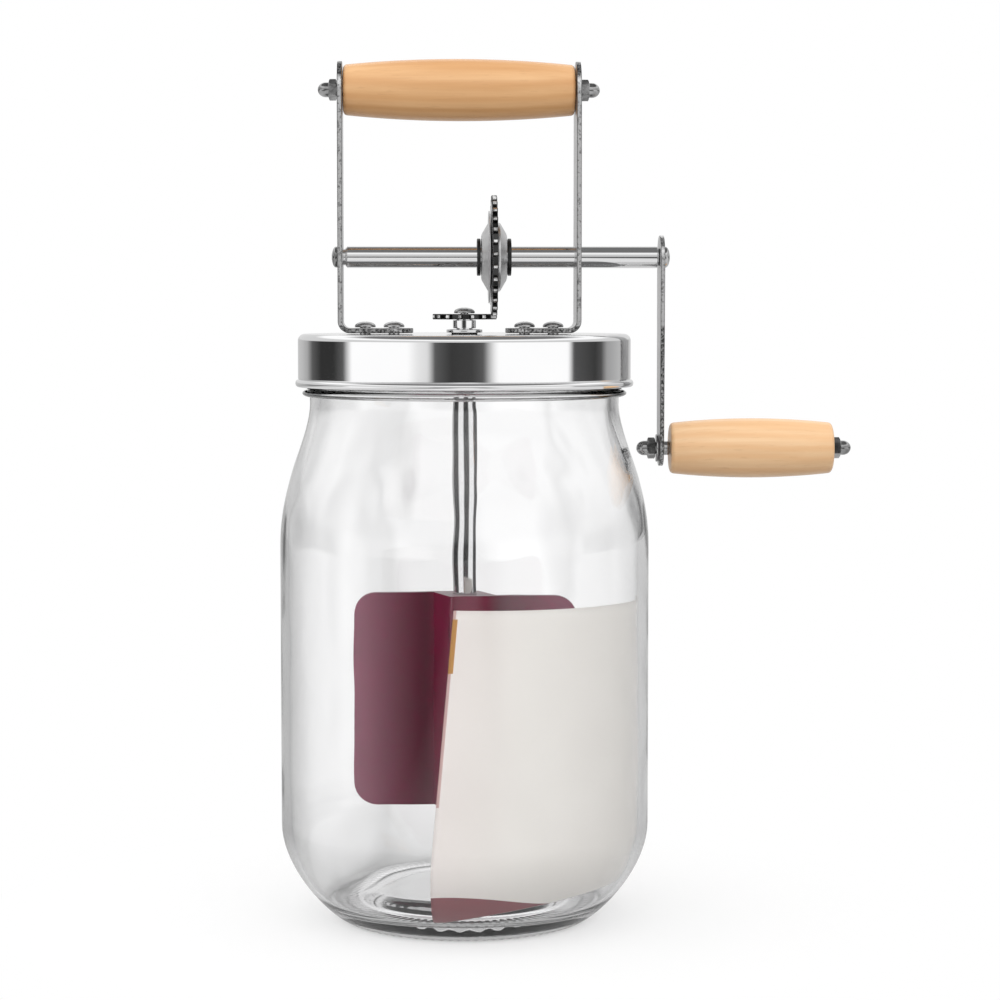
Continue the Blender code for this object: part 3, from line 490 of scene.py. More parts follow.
# %% [markdown]
# The leaflet is an off-white card with a plain maroon strip along its foot and a narrow ochre strip at its left
# edge. They follow the sheet, so they are drawn from its UV map, where U runs across and V runs up.
# %% Finish: bare paper
paper = Finish("paper_bare", Specular_IOR_Level=0.3)
sheet_place = paper.node("ShaderNodeTexCoord", output="UV")
across, upward, _ = paper.parts(sheet_place)
fibre = paper.grain(2200.0, 4.0, 0.65)
shade = paper.grain(30.0, 2.0)
sheet = paper.blend(shade, tone(246, 243, 238), tone(238, 234, 229))
sheet = paper.blend(fibre * 0.2, sheet, tone(222, 217, 208))
sheet = paper.blend(paper.ramp(across, [(0.0, 0.25), (0.28, 0.0)]), sheet, tone(238, 220, 220))
strip_top = 0.215 - across * 0.12 - across * across * 0.80
sheet = paper.blend((upward < strip_top) * (upward > 0.004), sheet, tone(140, 78, 84))
sheet = paper.blend((across < 0.010) * (upward > 0.53), sheet, tone(206, 172, 168))
sheet = paper.blend((across < 0.017) * (upward > 0.865) * (upward < 0.982), sheet, tone(190, 138, 70))
paper.feed(Base_Color=sheet, Roughness=0.62 + fibre * 0.2)
paper.relief(fibre, 0.02 * mm, 0.3)
print("finishes ready:", len(bpy.data.materials))

# %% [markdown]
# The jar's wall is one closed turned shape. Its inside runs up from a pushed-up floor round a soft heel, and
# its outside comes down over the lip, the finish, the neck bead and the shoulder to a round heel.
# %% Jar profile
body_radius = ends("glass_jar", X)[1]
rim_top = ends("glass_jar", Z)[1]
wall = 3.5 * mm
inner_radius = body_radius - wall
foot_radius = 44.9 * mm
heel_top = 35.2 * mm
straight_top = 138.7 * mm
neck_bottom = 190.7 * mm
neck_radius = 57.1 * mm
mouth_radius = neck_radius - wall
finish_radius = 58.8 * mm
bead_bottom, bead_top, bead_depth = 194.0 * mm, 196.7 * mm, 2.8 * mm
floor_low, floor_radius = 7.8 * mm, 50.0 * mm
floor_high, crown_radius, crown_pull = 13.0 * mm, 34.0 * mm, 8.0 * mm
inner_heel_top = 35.0 * mm
shoulder_pull, neck_pull = 24 * mm, 14 * mm
lip = 1.2 * mm

floor_dome = curve_points(
    (crown_radius, floor_high), (crown_radius + crown_pull, floor_high), (floor_radius - crown_pull, floor_low),
    (floor_radius, floor_low), 12,
)
inner_heel = curve_points(
    (floor_radius, floor_low), (floor_radius + 3.5 * mm, floor_low), (inner_radius, inner_heel_top - 12 * mm),
    (inner_radius, inner_heel_top), 16,
)
inner_shoulder = curve_points(
    (inner_radius, straight_top), (inner_radius, straight_top + shoulder_pull),
    (mouth_radius + 1 * mm, neck_bottom - neck_pull), (mouth_radius, neck_bottom), 22,
)
outer_shoulder = curve_points(
    (neck_radius, neck_bottom), (neck_radius + 1 * mm, neck_bottom - neck_pull),
    (body_radius, straight_top + shoulder_pull), (body_radius, straight_top), 22,
)
outer_heel = curve_points(
    (body_radius, heel_top), (body_radius, heel_top - 16 * mm), (foot_radius + 6.1 * mm, 1.5 * mm),
    (foot_radius, 0), 20,
)
mouth = dotted(
    [(mouth_radius, neck_bottom)] + arc((mouth_radius + lip, rim_top - lip), (lip, lip), 180, 90, 5), 2.5 * mm
)
outer_lip = arc((finish_radius - lip, rim_top - lip), (lip, lip), 90, 0, 5)
finish_side = dotted([outer_lip[-1], (finish_radius, bead_top + 0.8 * mm)], 0.5 * mm)
bead = arc((neck_radius, (bead_bottom + bead_top) / 2), (bead_depth, (bead_top - bead_bottom) / 2), 90, -90, 12)
stand = [(40.0 * mm, 0), (36.0 * mm, 0.1 * mm), (34.4 * mm, 0.7 * mm), (33.2 * mm, 1.5 * mm), (30 * mm, 1.9 * mm)]
jar_profile = (
    dotted([(0, floor_high), floor_dome[0]], 4 * mm)
    + floor_dome[1:]
    + inner_heel[1:]
    + dotted([inner_heel[-1], inner_shoulder[0]], 3.5 * mm)[1:]
    + inner_shoulder[1:]
    + mouth[1:]
    + outer_lip
    + finish_side[1:]
    + [(neck_radius + 0.9 * mm, bead_top + 0.2 * mm)]
    + bead
    + dotted([bead[-1], outer_shoulder[0]], 1.2 * mm)[1:]
    + outer_shoulder[1:]
    + dotted([outer_shoulder[-1], outer_heel[0]], 6 * mm)[1:]
    + outer_heel[1:]
    + stand
    + dotted([(26 * mm, 2.0 * mm), (0, 2.0 * mm)], 6 * mm)
)
jar_steps = 360
jar_shape = turned(jar_profile, jar_steps)
print("jar profile:", len(jar_profile), "points,", len(jar_shape.faces), "faces")

# %% [markdown]
# Three things are not turned. The screw thread climbs round the finish. The stand ring carries small knurls,
# which stop the hot jar from chilling on the belt. The inner wall is slightly uneven, most of all in the
# shoulder, and that is what makes the steel rod look wavy behind the glass.
# %% Thread, knurls and uneven wall
thread_depth, thread_half, thread_pitch = 1.6 * mm, 1.5 * mm, 6.0 * mm
thread_start, thread_turns, thread_fade = 3.6 * mm, 1.75, 0.12
knurls, knurl_depth = 90, 0.45 * mm


def thread_height(angle, height):
    """How far the thread stands out of the finish at an angle and a height."""
    share = (angle / math.tau) % 1
    best = 0
    for turn in (0, 1):
        along = share + turn
        centre = rim_top - thread_start - along * thread_pitch
        near = abs(height - centre) / thread_half
        fade = min(1, along / thread_fade, (thread_turns - along) / thread_fade)
        if near < 1 and fade > 0:
            best = max(best, thread_depth * fade * (1 - near**2) ** 1.5)
    return best


for point in jar_shape.verts:
    radius = math.hypot(point.co.x, point.co.y)
    if radius < 1 * mm:
        continue
    angle = math.atan2(point.co.y, point.co.x)
    outward = Vector((point.co.x, point.co.y, 0)) / radius
    height = point.co.z
    wall_limit = neck_radius if height > neck_bottom else inner_radius + 0.01 * mm
    if radius > finish_radius - 0.05 * mm and bead_top + 0.5 * mm < height < rim_top - lip / 2:
        point.co += outward * thread_height(angle, height)
    elif height < 1.2 * mm and 35 * mm < radius < 49 * mm:
        ring_share = max(0, 1 - abs(radius - 43.5 * mm) / (6 * mm))
        point.co.z += knurl_depth * ring_share * (0.5 + 0.5 * math.cos(angle * knurls))
    elif 24 * mm < height < rim_top - 3 * mm and radius < wall_limit:
        shoulder = max(0, 1 - abs(height - 168 * mm) / (36 * mm))
        uneven = (0.06 + 0.16 * shoulder) * mm
        ripple = noise.noise(Vector((point.co.x, point.co.y, height * 0.75)) / (11 * mm))
        point.co += outward * ripple * uneven
jar_piece = dress("jar_glass", jar_shape, glass, "glass_jar", sharp=60)
print("jar:", len(jar_piece.data.polygons), "faces")

# %% [markdown]
# The card is bent along the front right of the wall and stands on the floor. A grid is bent on to the wall's
# own curve, and Solidify gives it its thickness. Angles are degrees round the jar from its front, and a share
# runs across the card from its left edge.
# %% Leaflet
paper_thickness, stand_off = 0.4 * mm, 0.55 * mm
foot_start, foot_spread, foot_rise = -13.5, 98.5, 11.0 * mm
head_start, head_spread, head_left, head_drop = -4.5, 89.5, 113.2 * mm, 1.3 * mm
inner_line = sorted(inner_heel, key=lambda point: point[1])


def wall_radius(height):
    """The inner wall's radius at a height."""
    below = inner_line[0]
    for point in inner_line:
        if point[1] > height:
            share = (height - below[1]) / (point[1] - below[1]) if point is not below else 0
            return below[0] + (point[0] - below[0]) * share
        below = point
    return inner_radius


card_shape = bmesh.new()
card_shape.loops.layers.uv.new("UVMap")
bmesh.ops.create_grid(card_shape, x_segments=60, y_segments=48, size=1, calc_uvs=True)
for point in card_shape.verts:
    share = (point.co.x + 1) / 2
    climb = ((point.co.y + 1) / 2) ** 1.5
    foot_angle = foot_start + foot_spread * share
    head_angle = head_start + head_spread * share
    foot_height = foot_rise * (1 - (1 - share) ** 2)
    head_height = head_left - head_drop * share
    angle = math.radians(foot_angle + (head_angle - foot_angle) * climb)
    height = floor_low + foot_height + (head_height - foot_height) * climb
    radius = wall_radius(height) - stand_off
    point.co = (radius * math.sin(angle), -radius * math.cos(angle), height + stand_off)
card = dress("leaflet_card", card_shape, paper, "leaflet")
card.modifiers.remove(card.modifiers["weighted_normals"])
shell = card.modifiers.new("paper", "SOLIDIFY")
shell.thickness = paper_thickness
shell.offset = 0
print("leaflet:", len(card.data.polygons), "faces")

# %% [markdown]
# The lid is one pressed sheet: flat on top, over a rounded shoulder, down a straight skirt and out into a
# rolled hem. A fine crease above the hem gives the dark line there. The seal is a flat ring inside.
# %% Lid and seal
def tube(inner, outer, low, high, steps):
    """A plain ring about Z."""
    return turned([(inner, low), (outer, low), (outer, high), (inner, high)], steps, closed=True)


lid_low, lid_top = ends("lid_cap", Z)
lid_radius = ends("lid_cap", X)[1] - 1.0 * mm
sheet_steel = 0.6 * mm
shoulder_round = 2.5 * mm
hem_height = 2.6 * mm
bush_bore = 5.05 * mm
bend = (lid_radius - shoulder_round, lid_top - shoulder_round)
lid_profile = (
    [(bush_bore, lid_top), (56.0 * mm, lid_top)]
    + arc(bend, (shoulder_round, shoulder_round), 90, 0, 12)
    + [(lid_radius, lid_low + hem_height + 0.5 * mm), (lid_radius - 0.15 * mm, lid_low + hem_height + 0.15 * mm)]
    + arc((lid_radius, lid_low + hem_height / 2), (1.0 * mm, hem_height / 2), 80, -90, 12)
    + [(lid_radius - sheet_steel, lid_low)]
    + arc(bend, (shoulder_round - sheet_steel, shoulder_round - sheet_steel), 0, 90, 10)
    + [(bush_bore, lid_top - sheet_steel)]
)
dress("lid_sheet", turned(lid_profile, 256, closed=True), lid_look, "lid_cap", sharp=50)
seal_shape = tube(mouth_radius + lip, ends("lid_seal", X)[1], *ends("lid_seal", Z), 128)
dress("seal_ring", eased(seal_shape, 0.2 * mm), rubber, "lid_seal")
print("lid skirt:", round((lid_top - lid_low) / mm, 1), "mm high")


# %% [markdown]
# A nut starts as a turned blank with its corners chamfered, and six straight cuts make it a hexagon, as on a
# lathe and a mill. An acorn nut has its dome turned on the same blank.
# %% Nuts
nut_flats, bolt_bore = 6.8 * mm, 2.3 * mm


def trimmed_to_hexagon(shape, flats):
    """Cuts six flats round a turned blank."""
    for index in range(6):
        angle = math.radians(60 * index + 30)
        normal = Vector((math.cos(angle), math.sin(angle), 0))
        cut = bmesh.ops.bisect_plane(
            shape, geom=shape.verts[:] + shape.edges[:] + shape.faces[:], plane_co=normal * flats / 2, plane_no=normal,
            clear_outer=True, dist=weld / 4,
        )
        rim = [item for item in cut["geom_cut"] if isinstance(item, bmesh.types.BMEdge)]
        bmesh.ops.edgeloop_fill(shape, edges=rim)
    bmesh.ops.recalc_face_normals(shape, faces=shape.faces)
    return shape


def acorn_nut(towards, place):
    """An acorn nut that sits on a place with its dome towards a direction."""
    corner = nut_flats / 2 / math.cos(math.pi / 6)
    dome_base, dome_radius = 2.8 * mm, 2.7 * mm
    dome = arc((0, dome_base + 1.2 * mm), (dome_radius, 2.9 * mm), 90, 0, 12)
    profile = dome + [
        (dome_radius, dome_base + 0.25 * mm), (dome_radius + 0.25 * mm, dome_base), (corner - 0.55 * mm, dome_base),
        (corner, dome_base - 0.3 * mm), (corner, 0.3 * mm), (corner - 0.55 * mm, 0), (bolt_bore, 0),
        (bolt_bore, 5.0 * mm), (0, 5.0 * mm),
    ]
    return laid(trimmed_to_hexagon(turned(profile, 72), nut_flats), towards, place)


def plain_nut(flats, thickness, bore, place):
    """A plain hexagon nut whose top face is at a place."""
    corner = flats / 2 / math.cos(math.pi / 6)
    profile = [
        (bore, 0), (corner - 0.6 * mm, 0), (corner, -0.35 * mm), (corner, -thickness + 0.35 * mm),
        (corner - 0.6 * mm, -thickness), (bore, -thickness),
    ]
    return laid(trimmed_to_hexagon(turned(profile, 72, closed=True), flats), up, place)


# %% [markdown]
# The screws have low domed heads with a cross recess, cut out with two tapered bars. A boolean is the plain
# way here, because the recess crosses the dome at an angle.
# %% Screws
head_radius, head_height = 3.85 * mm, 2.1 * mm


def carved(shape, cutter):
    """Cuts one closed shape out of another."""
    blanks = [as_object("blank", blank) for blank in (shape, cutter)]
    step = blanks[0].modifiers.new("cut", "BOOLEAN")
    step.operation, step.object = "DIFFERENCE", blanks[1]
    bpy.context.view_layer.update()
    seen = blanks[0].evaluated_get(bpy.context.evaluated_depsgraph_get())
    result = bmesh.new()
    result.from_mesh(seen.to_mesh())
    seen.to_mesh_clear()
    for blank in blanks:
        bpy.data.meshes.remove(blank.data)
    return result


def dome_screw(shank_radius, shank_length, towards, place, turn=0):
    """A dome-head screw whose head rests on a place, its recess turned by some degrees."""
    rim = 0.5 * mm
    dome = arc((0, rim), (head_radius, head_height - rim), 90, 0, 12)
    profile = dome + [(head_radius, 0.15 * mm), (head_radius - 0.15 * mm, 0), (shank_radius, 0)]
    profile += [(shank_radius, 0.4 * mm - shank_length), (shank_radius - 0.4 * mm, -shank_length), (0, -shank_length)]
    screw = turned(profile, 48)
    for sizes in ((3.6, 0.9), (0.9, 3.6)):
        bar = bmesh.new()
        bmesh.ops.create_cube(bar, size=1)
        bmesh.ops.scale(bar, vec=(sizes[0] * mm, sizes[1] * mm, 2 * mm), verts=bar.verts)
        for corner in bar.verts:
            if corner.co.z < 0:
                corner.co.x *= 0.6
                corner.co.y *= 0.6
        bmesh.ops.translate(bar, vec=(0, 0, head_height), verts=bar.verts)
        screw = carved(screw, bar)
    bmesh.ops.rotate(screw, cent=(0, 0, 0), matrix=Matrix.Rotation(math.radians(turn), 3, "Z"), verts=screw.verts)
    return laid(screw, towards, place)


strip_thickness, seat_gap = 1.8 * mm, 0.3 * mm
strap_top = lid_top + seat_gap + strip_thickness
for index, turn in enumerate((12, 48, 71, 25), 1):
    screw_node, nut_node = f"foot_screw_{index}", f"foot_nut_{index}"
    seat = Vector((middle(screw_node).x, 0, strap_top + seat_gap))
    shank = seat.z - ends(screw_node, Z)[0]
    dress("plated_" + screw_node, dome_screw(2 * mm, shank, up, seat, turn), plated, screw_node)
    nut_place = (seat.x, 0, ends(nut_node, Z)[1])
    nut_shape = plain_nut(nut_flats, 3.0 * mm, bolt_bore, nut_place)
    dress("plated_" + nut_node, nut_shape, plated, nut_node)
crank_z = middle("crank_shaft").z
for name, node, seat, direction, turn in (
    ("shaft_end_screw", "shaft_screw", (ends("shaft_screw", X)[0] + head_height, 0, crank_z), left, 30),
    ("crank_end_screw", "crank_screw", (ends("crank_screw", X)[1] - head_height, 0, crank_z), right, 15),
    ("pinion_end_screw", "pinion_screw", (0, 0, ends("pinion_screw", Z)[1] - head_height), up, 35),
):
    dress(name, dome_screw(1.5 * mm, 7.4 * mm, direction, seat, turn), plated, node)
for node, side, direction in (
    ("top_nut_left", 1, left), ("top_nut_right", 0, right), ("crank_nut_inner", 1, left), ("crank_nut_outer", 0, right)
):
    centre = middle(node)
    dress("acorn_" + node, acorn_nut(direction, (ends(node, X)[side], centre.y, centre.z)), plated, node)
hardware = [piece for piece in dressed if "screw" in piece.name or "nut" in piece.name]
print("screws and nuts:", len(hardware))


# %% [markdown]
# Flat parts are stamped: an outline with holes is filled and extruded, and its long edges are eased. The
# straps are then bent up square over a former, so the points of the flat blank are rolled through the bend.
# %% Stamped plates
def stamped(outline, holes, thickness, edge):
    """A flat plate with holes, centred on its local XY plane."""
    shape = bmesh.new()
    border = []
    for loop in [outline, *holes]:
        corners = [shape.verts.new((x, y, -thickness / 2)) for x, y in loop]
        border += [shape.edges.new(pair) for pair in zip(corners, corners[1:] + corners[:1])]
    bmesh.ops.triangle_fill(shape, edges=border, use_beauty=True)
    raised = bmesh.ops.extrude_face_region(shape, geom=shape.faces[:])
    moved = [item for item in raised["geom"] if isinstance(item, bmesh.types.BMVert)]
    bmesh.ops.translate(shape, vec=(0, 0, thickness), verts=moved)
    bmesh.ops.recalc_face_normals(shape, faces=shape.faces)
    eased(shape, edge, 2, 60, keep_upright=True)
    sheet_map = shape.loops.layers.uv.new("UVMap")
    shape.normal_update()
    for face in shape.faces:
        for corner in face.loops:
            corner[sheet_map].uv = (corner.vert.co.z / thickness + 0.5, 1 - abs(face.normal.z))
    return shape


def round_hole(radius, centre=(0, 0), count=40):
    """A closed ring of points."""
    return arc(centre, (radius, radius), 0, 360 - 360 / count, count - 1)


strap_half, strap_bend, strap_foot = 10.4 * mm, 2.6 * mm, 27.6 * mm
straps_centre = (ends("left_bracket", X)[0] + ends("right_bracket", X)[1]) / 2
top_grip_z = middle("top_grip").z


def bent_strap(side, shaft_hole):
    """A strap with round ends and holes, bent up square from its foot; side is -1 left, 1 right."""
    half, thick = strap_half, strip_thickness
    bend_middle = strap_bend + thick / 2
    foot_z = lid_top + seat_gap + thick / 2
    outer = (ends("right_bracket", X)[1] - ends("left_bracket", X)[0]) / 2
    foot_tip = outer - strap_foot
    bend_start = strap_foot - thick / 2 - bend_middle
    bend_end = bend_start + bend_middle * math.pi / 2
    bend_top = foot_z + bend_middle
    grip_s = bend_end + top_grip_z - bend_top
    shaft_s = bend_end + crank_z - bend_top
    outline = arc((half, 0), (half, half), 270, 90, 36) + arc((grip_s, 0), (half, half), 90, -90, 36)
    holes = [round_hole(bolt_bore, (grip_s, 0)), round_hole(shaft_hole, (shaft_s, 0))]
    holes += [round_hole(bolt_bore, (strap_foot - setback, 0)) for setback in (9.9 * mm, 20.5 * mm)]
    shape = stamped(outline, holes, thick, 0.25 * mm)
    for index in range(13):
        fold = bend_start + (bend_end - bend_start) * index / 12
        geometry = shape.verts[:] + shape.edges[:] + shape.faces[:]
        bmesh.ops.bisect_plane(shape, geom=geometry, plane_co=(fold, 0, 0), plane_no=(1, 0, 0), dist=weld / 4)
    for point in shape.verts:
        along, across_strap, offset = point.co
        angle = min(max((along - bend_start) / (bend_end - bend_start), 0), 1) * math.pi / 2
        x = foot_tip + min(along, bend_start) + (bend_middle - offset) * math.sin(angle)
        z = bend_top - (bend_middle - offset) * math.cos(angle) + max(along - bend_end, 0)
        point.co = (straps_centre + side * x, across_strap, z)
    if side < 0:
        bmesh.ops.reverse_faces(shape, faces=shape.faces)
    return shape


dress("strap_left", bent_strap(-1, 3.1 * mm), strip, "left_bracket")
dress("strap_right", bent_strap(1, 4.1 * mm), strip, "right_bracket")
print("straps stand", round((ends("left_bracket", Z)[1] - lid_top) / mm, 1), "mm above the lid")

# %% [markdown]
# The crank arm is the same strip, wider at the shaft than at the grip. Its outline is two round ends joined
# by straight sides.
# %% Crank arm, washer and spacer
rod_bore, shaft_bore = 3.3 * mm, 4.3 * mm
crank_length = crank_z - middle("crank_grip").z
hub_end, tip_end = 8.0 * mm, 6.6 * mm
spread = math.degrees(math.asin((hub_end - tip_end) / crank_length))
arm_outline = arc((0, 0), (hub_end, hub_end), 90 - spread, 270 + spread, 40)
arm_outline += arc((crank_length, 0), (tip_end, tip_end), -90 + spread, 90 - spread, 32)
arm_holes = [round_hole(rod_bore), round_hole(bolt_bore, (crank_length, 0))]


def upright(shape, node):
    """Turns a flat plate's X downwards and its face towards X, in the mid plane of a solid on the crank."""
    turn = Matrix.Translation((middle(node).x, 0, crank_z)) @ Matrix.Rotation(math.pi / 2, 4, "Y")
    bmesh.ops.transform(shape, matrix=turn, verts=shape.verts)
    return shape


arm_shape = upright(stamped(arm_outline, arm_holes, 1.6 * mm, 0.25 * mm), "crank_arm")
dress("arm_strip", arm_shape, strip, "crank_arm")


def ring(node, inner, edge, look, name):
    """A plain turned ring along X that fills a solid's box."""
    place = (ends(node, X)[0], 0, middle(node).z)
    shape = tube(inner, length_of(node, Z) / 2, 0, length_of(node, X), 72)
    return dress(name, laid(eased(shape, edge, 3), right, place), look, node)


ring("crank_washer", bolt_bore, 0.2 * mm, plated, "washer")
ring("pin_spacer", bolt_bore, 0.1 * mm, plated, "spacer")


# %% [markdown]
# The gear pair is stamped too. A tooth is a flat-topped wedge with eased corners, repeated round the rim.
# %% Gear and pinion
gear_teeth, pinion_teeth = 30, 15


def toothed(teeth, tip, root, phase):
    """A gear's outline with a tooth centred on the phase angle, in degrees."""
    pitch = 360 / teeth
    flank = ((0.50, root), (0.44, root + 0.08 * mm), (0.34, tip - 0.75 * mm), (0.27, tip - 0.28 * mm), (0.17, tip))
    corners = [(-share, radius) for share, radius in flank] + list(flank[:0:-1])
    points = []
    for tooth in range(teeth):
        for share, radius in corners:
            angle = math.radians(phase + (tooth + share / 2) * pitch)
            points.append((radius * math.cos(angle), radius * math.sin(angle)))
    return points


gear_thickness = length_of("drive_gear", X)
gear_outline = toothed(gear_teeth, 22.7 * mm, 20.5 * mm, 4)
gear_shape = upright(stamped(gear_outline, [round_hole(shaft_bore)], gear_thickness, 0.32 * mm), "drive_gear")
gear_look = gear_steel("steel_gear", "drive_gear", True, 22.0 * mm, gear_thickness * 0.33)
dress("gear_plate", gear_shape, gear_look, "drive_gear")
pinion_outline = toothed(pinion_teeth, 11.84 * mm, 9.54 * mm, 20)
pinion_shape = stamped(pinion_outline, [round_hole(rod_bore)], 2.0 * mm, 0.2 * mm)
bmesh.ops.translate(pinion_shape, vec=middle("pinion"), verts=pinion_shape.verts)
pinion_look = gear_steel("steel_pinion", "pinion", False, 11.3 * mm, 0.5 * mm)
dress("pinion_plate", pinion_shape, pinion_look, "pinion")
print("gear ratio:", gear_teeth / pinion_teeth)

# %% [markdown]
# Cone-shaped hubs clamp the gear from both sides, the left one with a thin backing disc a hair off the gear. A
# blackened ring holds each hub on the shaft.
# %% Gear hubs and rings
hub_length, cone_radius, disc_radius, disc_gap = 3.4 * mm, 12.6 * mm, 17 * mm, 0.35 * mm
cone = [(cone_radius, -0.7 * mm), (12.4 * mm, -1.0 * mm), (8.6 * mm, -3.2 * mm), (8.0 * mm, -hub_length)]
disc = [(12.0 * mm, 0), (12.0 * mm, -disc_gap), (disc_radius, -disc_gap), (disc_radius, -0.7 * mm)]
for side, start, towards, edge in (("left", disc, right, 1), ("right", [(cone_radius, 0)], left, 0)):
    node = "gear_hub_" + side
    profile = [(shaft_bore, 0)] + start + cone + [(shaft_bore, -hub_length)]
    hub = eased(turned(profile, 96, closed=True), 0.15 * mm, 2, 50)
    dress("hub_" + side, laid(hub, towards, (ends(node, X)[edge], 0, crank_z)), strip, node)
for side in ("left", "right"):
    ring("hub_ring_" + side, shaft_bore, 0.25 * mm, black, "ring_" + side)

# %% [markdown]
# The crank shaft, the agitator shaft, the bush and its sleeve are turned and polished, with small chamfers
# where a lathe tool breaks the corner.
# %% Shafts and bush
shaft_left, shaft_right = ends("crank_shaft", X)
shoulder_left = shaft_left + strip_thickness + 1.0 * mm
shoulder_right = shaft_right - 1.6 * mm - seat_gap
journal, step = 3 * mm, 0.5 * mm


def tapped_end(tip, depth, radius=1.8 * mm):
    """A shaft's end on its thin journal, drilled for a screw; the depth's sign says which way is in."""
    return [(0, tip + depth), (radius, tip + depth), (radius, tip), (journal, tip)]


shaft_profile = tapped_end(shaft_left, 8 * mm) + [
    (journal, shoulder_left), (3.5 * mm, shoulder_left), (3.5 * mm, shoulder_left + step),
    (4 * mm, shoulder_left + step), (4 * mm, shoulder_right - step), (3.5 * mm, shoulder_right - step),
    (3.5 * mm, shoulder_right), (journal, shoulder_right),
] + tapped_end(shaft_right, -8 * mm)[::-1]
shaft_look = polished_steel("steel_shaft", about_x=True, level=0.74, shift=(0, 0, -crank_z))
shaft_shape = eased(turned(shaft_profile, 72), 0.2 * mm, 2, 60)
dress("shaft_bar", laid(shaft_shape, right, (0, 0, crank_z)), shaft_look, "crank_shaft")

rod_low, rod_high = ends("agitator_shaft", Z)
rod_radius, rod_shoulder = 4.4 * mm, ends("lid_bush", Z)[0] - seat_gap
rod_profile = tapped_end(rod_high, -8 * mm) + [
    (journal, rod_shoulder), (rod_radius, rod_shoulder), (rod_radius, rod_low), (0, rod_low),
]
dress("agitator_bar", eased(turned(rod_profile, 72), 0.25 * mm, 2, 60), rod_look, "agitator_shaft")

bush_low, bush_top = ends("lid_bush", Z)
bush_inner, bush_outer, flange, flange_low = 3.08 * mm, 4.75 * mm, 6.65 * mm, bush_top - 1.4 * mm
bush_profile = [
    (bush_inner, bush_top), (flange, bush_top), (flange, flange_low), (bush_outer, flange_low),
    (bush_outer, bush_low), (bush_inner, bush_low),
]
dress("bush_turned", eased(turned(bush_profile, 96, closed=True), 0.3 * mm, 3, 60), lid_look, "lid_bush")
sleeve = eased(tube(rod_bore, 4.25 * mm, *ends("pinion_sleeve", Z), 72), 0.15 * mm)
dress("sleeve_turned", sleeve, rod_look, "pinion_sleeve")
nut_top = (0, 0, ends("bush_nut", Z)[1])
dress("bush_hexagon", plain_nut(14 * mm, 4 * mm, bush_bore, nut_top), plated, "bush_nut")
print("crank shaft:", round((shaft_right - shaft_left) / mm, 1), "mm long")


# %% [markdown]
# A grip is a long barrel, fullest in the middle, with its ends rounded over where the hand meets them.
# %% Turned grips
def grip(name, node, mid_radius, end_radius, pith, *tones):
    """A barrel grip along X that fills a solid's box."""
    low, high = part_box(node)
    half = (high[X] - low[X]) / 2
    centre = middle(node)
    round_over, chamfer, bore = 1.6 * mm, 0.4 * mm, 2.1 * mm
    end_flat = half - round_over
    shoulder_r = end_radius - round_over
    shares = [1 - index / 20 for index in range(1, 40)]
    barrel = [(end_radius + (mid_radius - end_radius) * (1 - share**2), share * end_flat) for share in shares]
    profile = (
        [(bore, half - chamfer), (bore + chamfer, half)]
        + arc((shoulder_r, end_flat), (round_over, round_over), 90, 0, 8)
        + barrel
        + arc((shoulder_r, -end_flat), (round_over, round_over), 0, -90, 8)
        + [(bore + chamfer, -half), (bore, chamfer - half)]
    )
    shape = laid(turned(profile, 128, closed=True), right, centre)
    return dress(name, shape, beech("beech_" + name, centre, pith, *tones), node)


grip("carrying_grip", "top_grip", 11.3 * mm, 9.3 * mm, (0.006, -0.019), tone(243, 192, 136), tone(226, 168, 108))
grip("cranking_grip", "crank_grip", 11.0 * mm, 9.5 * mm, (-0.004, 0.022), tone(254, 212, 164), tone(249, 199, 146))
for node in ("tie_rod", "crank_pin"):
    for entry in frame["nodes"][node].material_slots:
        entry.material = plated.material
print("grips:", round(length_of("top_grip", X) / mm, 1), "mm long at the top")

# %% [markdown]
# The paddle is one moulding: a square hub turned a little about the rod, with two wide blades set off to
# either side. A merged copy of the solid already has that form. What it lacks is the moulded softness, so all
# its edges are rounded, inner corners too.
# %% Paddle
paddle_shape = bmesh.new()
paddle_shape.from_mesh(frame["nodes"]["paddle"].data)
bmesh.ops.remove_doubles(paddle_shape, verts=paddle_shape.verts, dist=weld)
bmesh.ops.dissolve_limit(
    paddle_shape, angle_limit=math.radians(1), verts=paddle_shape.verts, edges=paddle_shape.edges,
    use_dissolve_boundaries=False,
)
eased(paddle_shape, 0.45 * mm, 3, 50)
dress("paddle_moulding", paddle_shape, burgundy, "paddle")
print("paddle:", round(length_of("paddle", Z) / mm, 1), "mm high")

# %% [markdown]
# The floor is a pale sheet that keeps the churn's soft shadow and fades to white further out. Rays through the
# glass pass it, or its far edge would draw a hard line across the jar. So do rays off steel or glass, but for a
# runner in front of the churn, because a white floor mirrored in the jar would wash out the paddle.
# %% Studio floor
floor_shape = bmesh.new()
bmesh.ops.create_grid(floor_shape, x_segments=2, y_segments=2, size=2.2)
floor = as_object("studio_floor", floor_shape)
floor.location = (0, 0, -0.1 * mm)

pale = Finish("floor_pale", Roughness=0.9, Specular_IOR_Level=0.0)
to_camera, off_gloss, through_glass = pale.rays("Is Camera Ray", "Is Glossy Ray", "Is Transmission Ray")
seen = to_camera.maths("MAXIMUM", off_gloss).maths("MAXIMUM", through_glass)
floor_x, floor_y, _ = pale.parts(pale.place)
away = from_axis(floor_x, floor_y)
far = pale.ramp(away / 0.5, [(0.10, 0.60), (0.36, 1.0)])
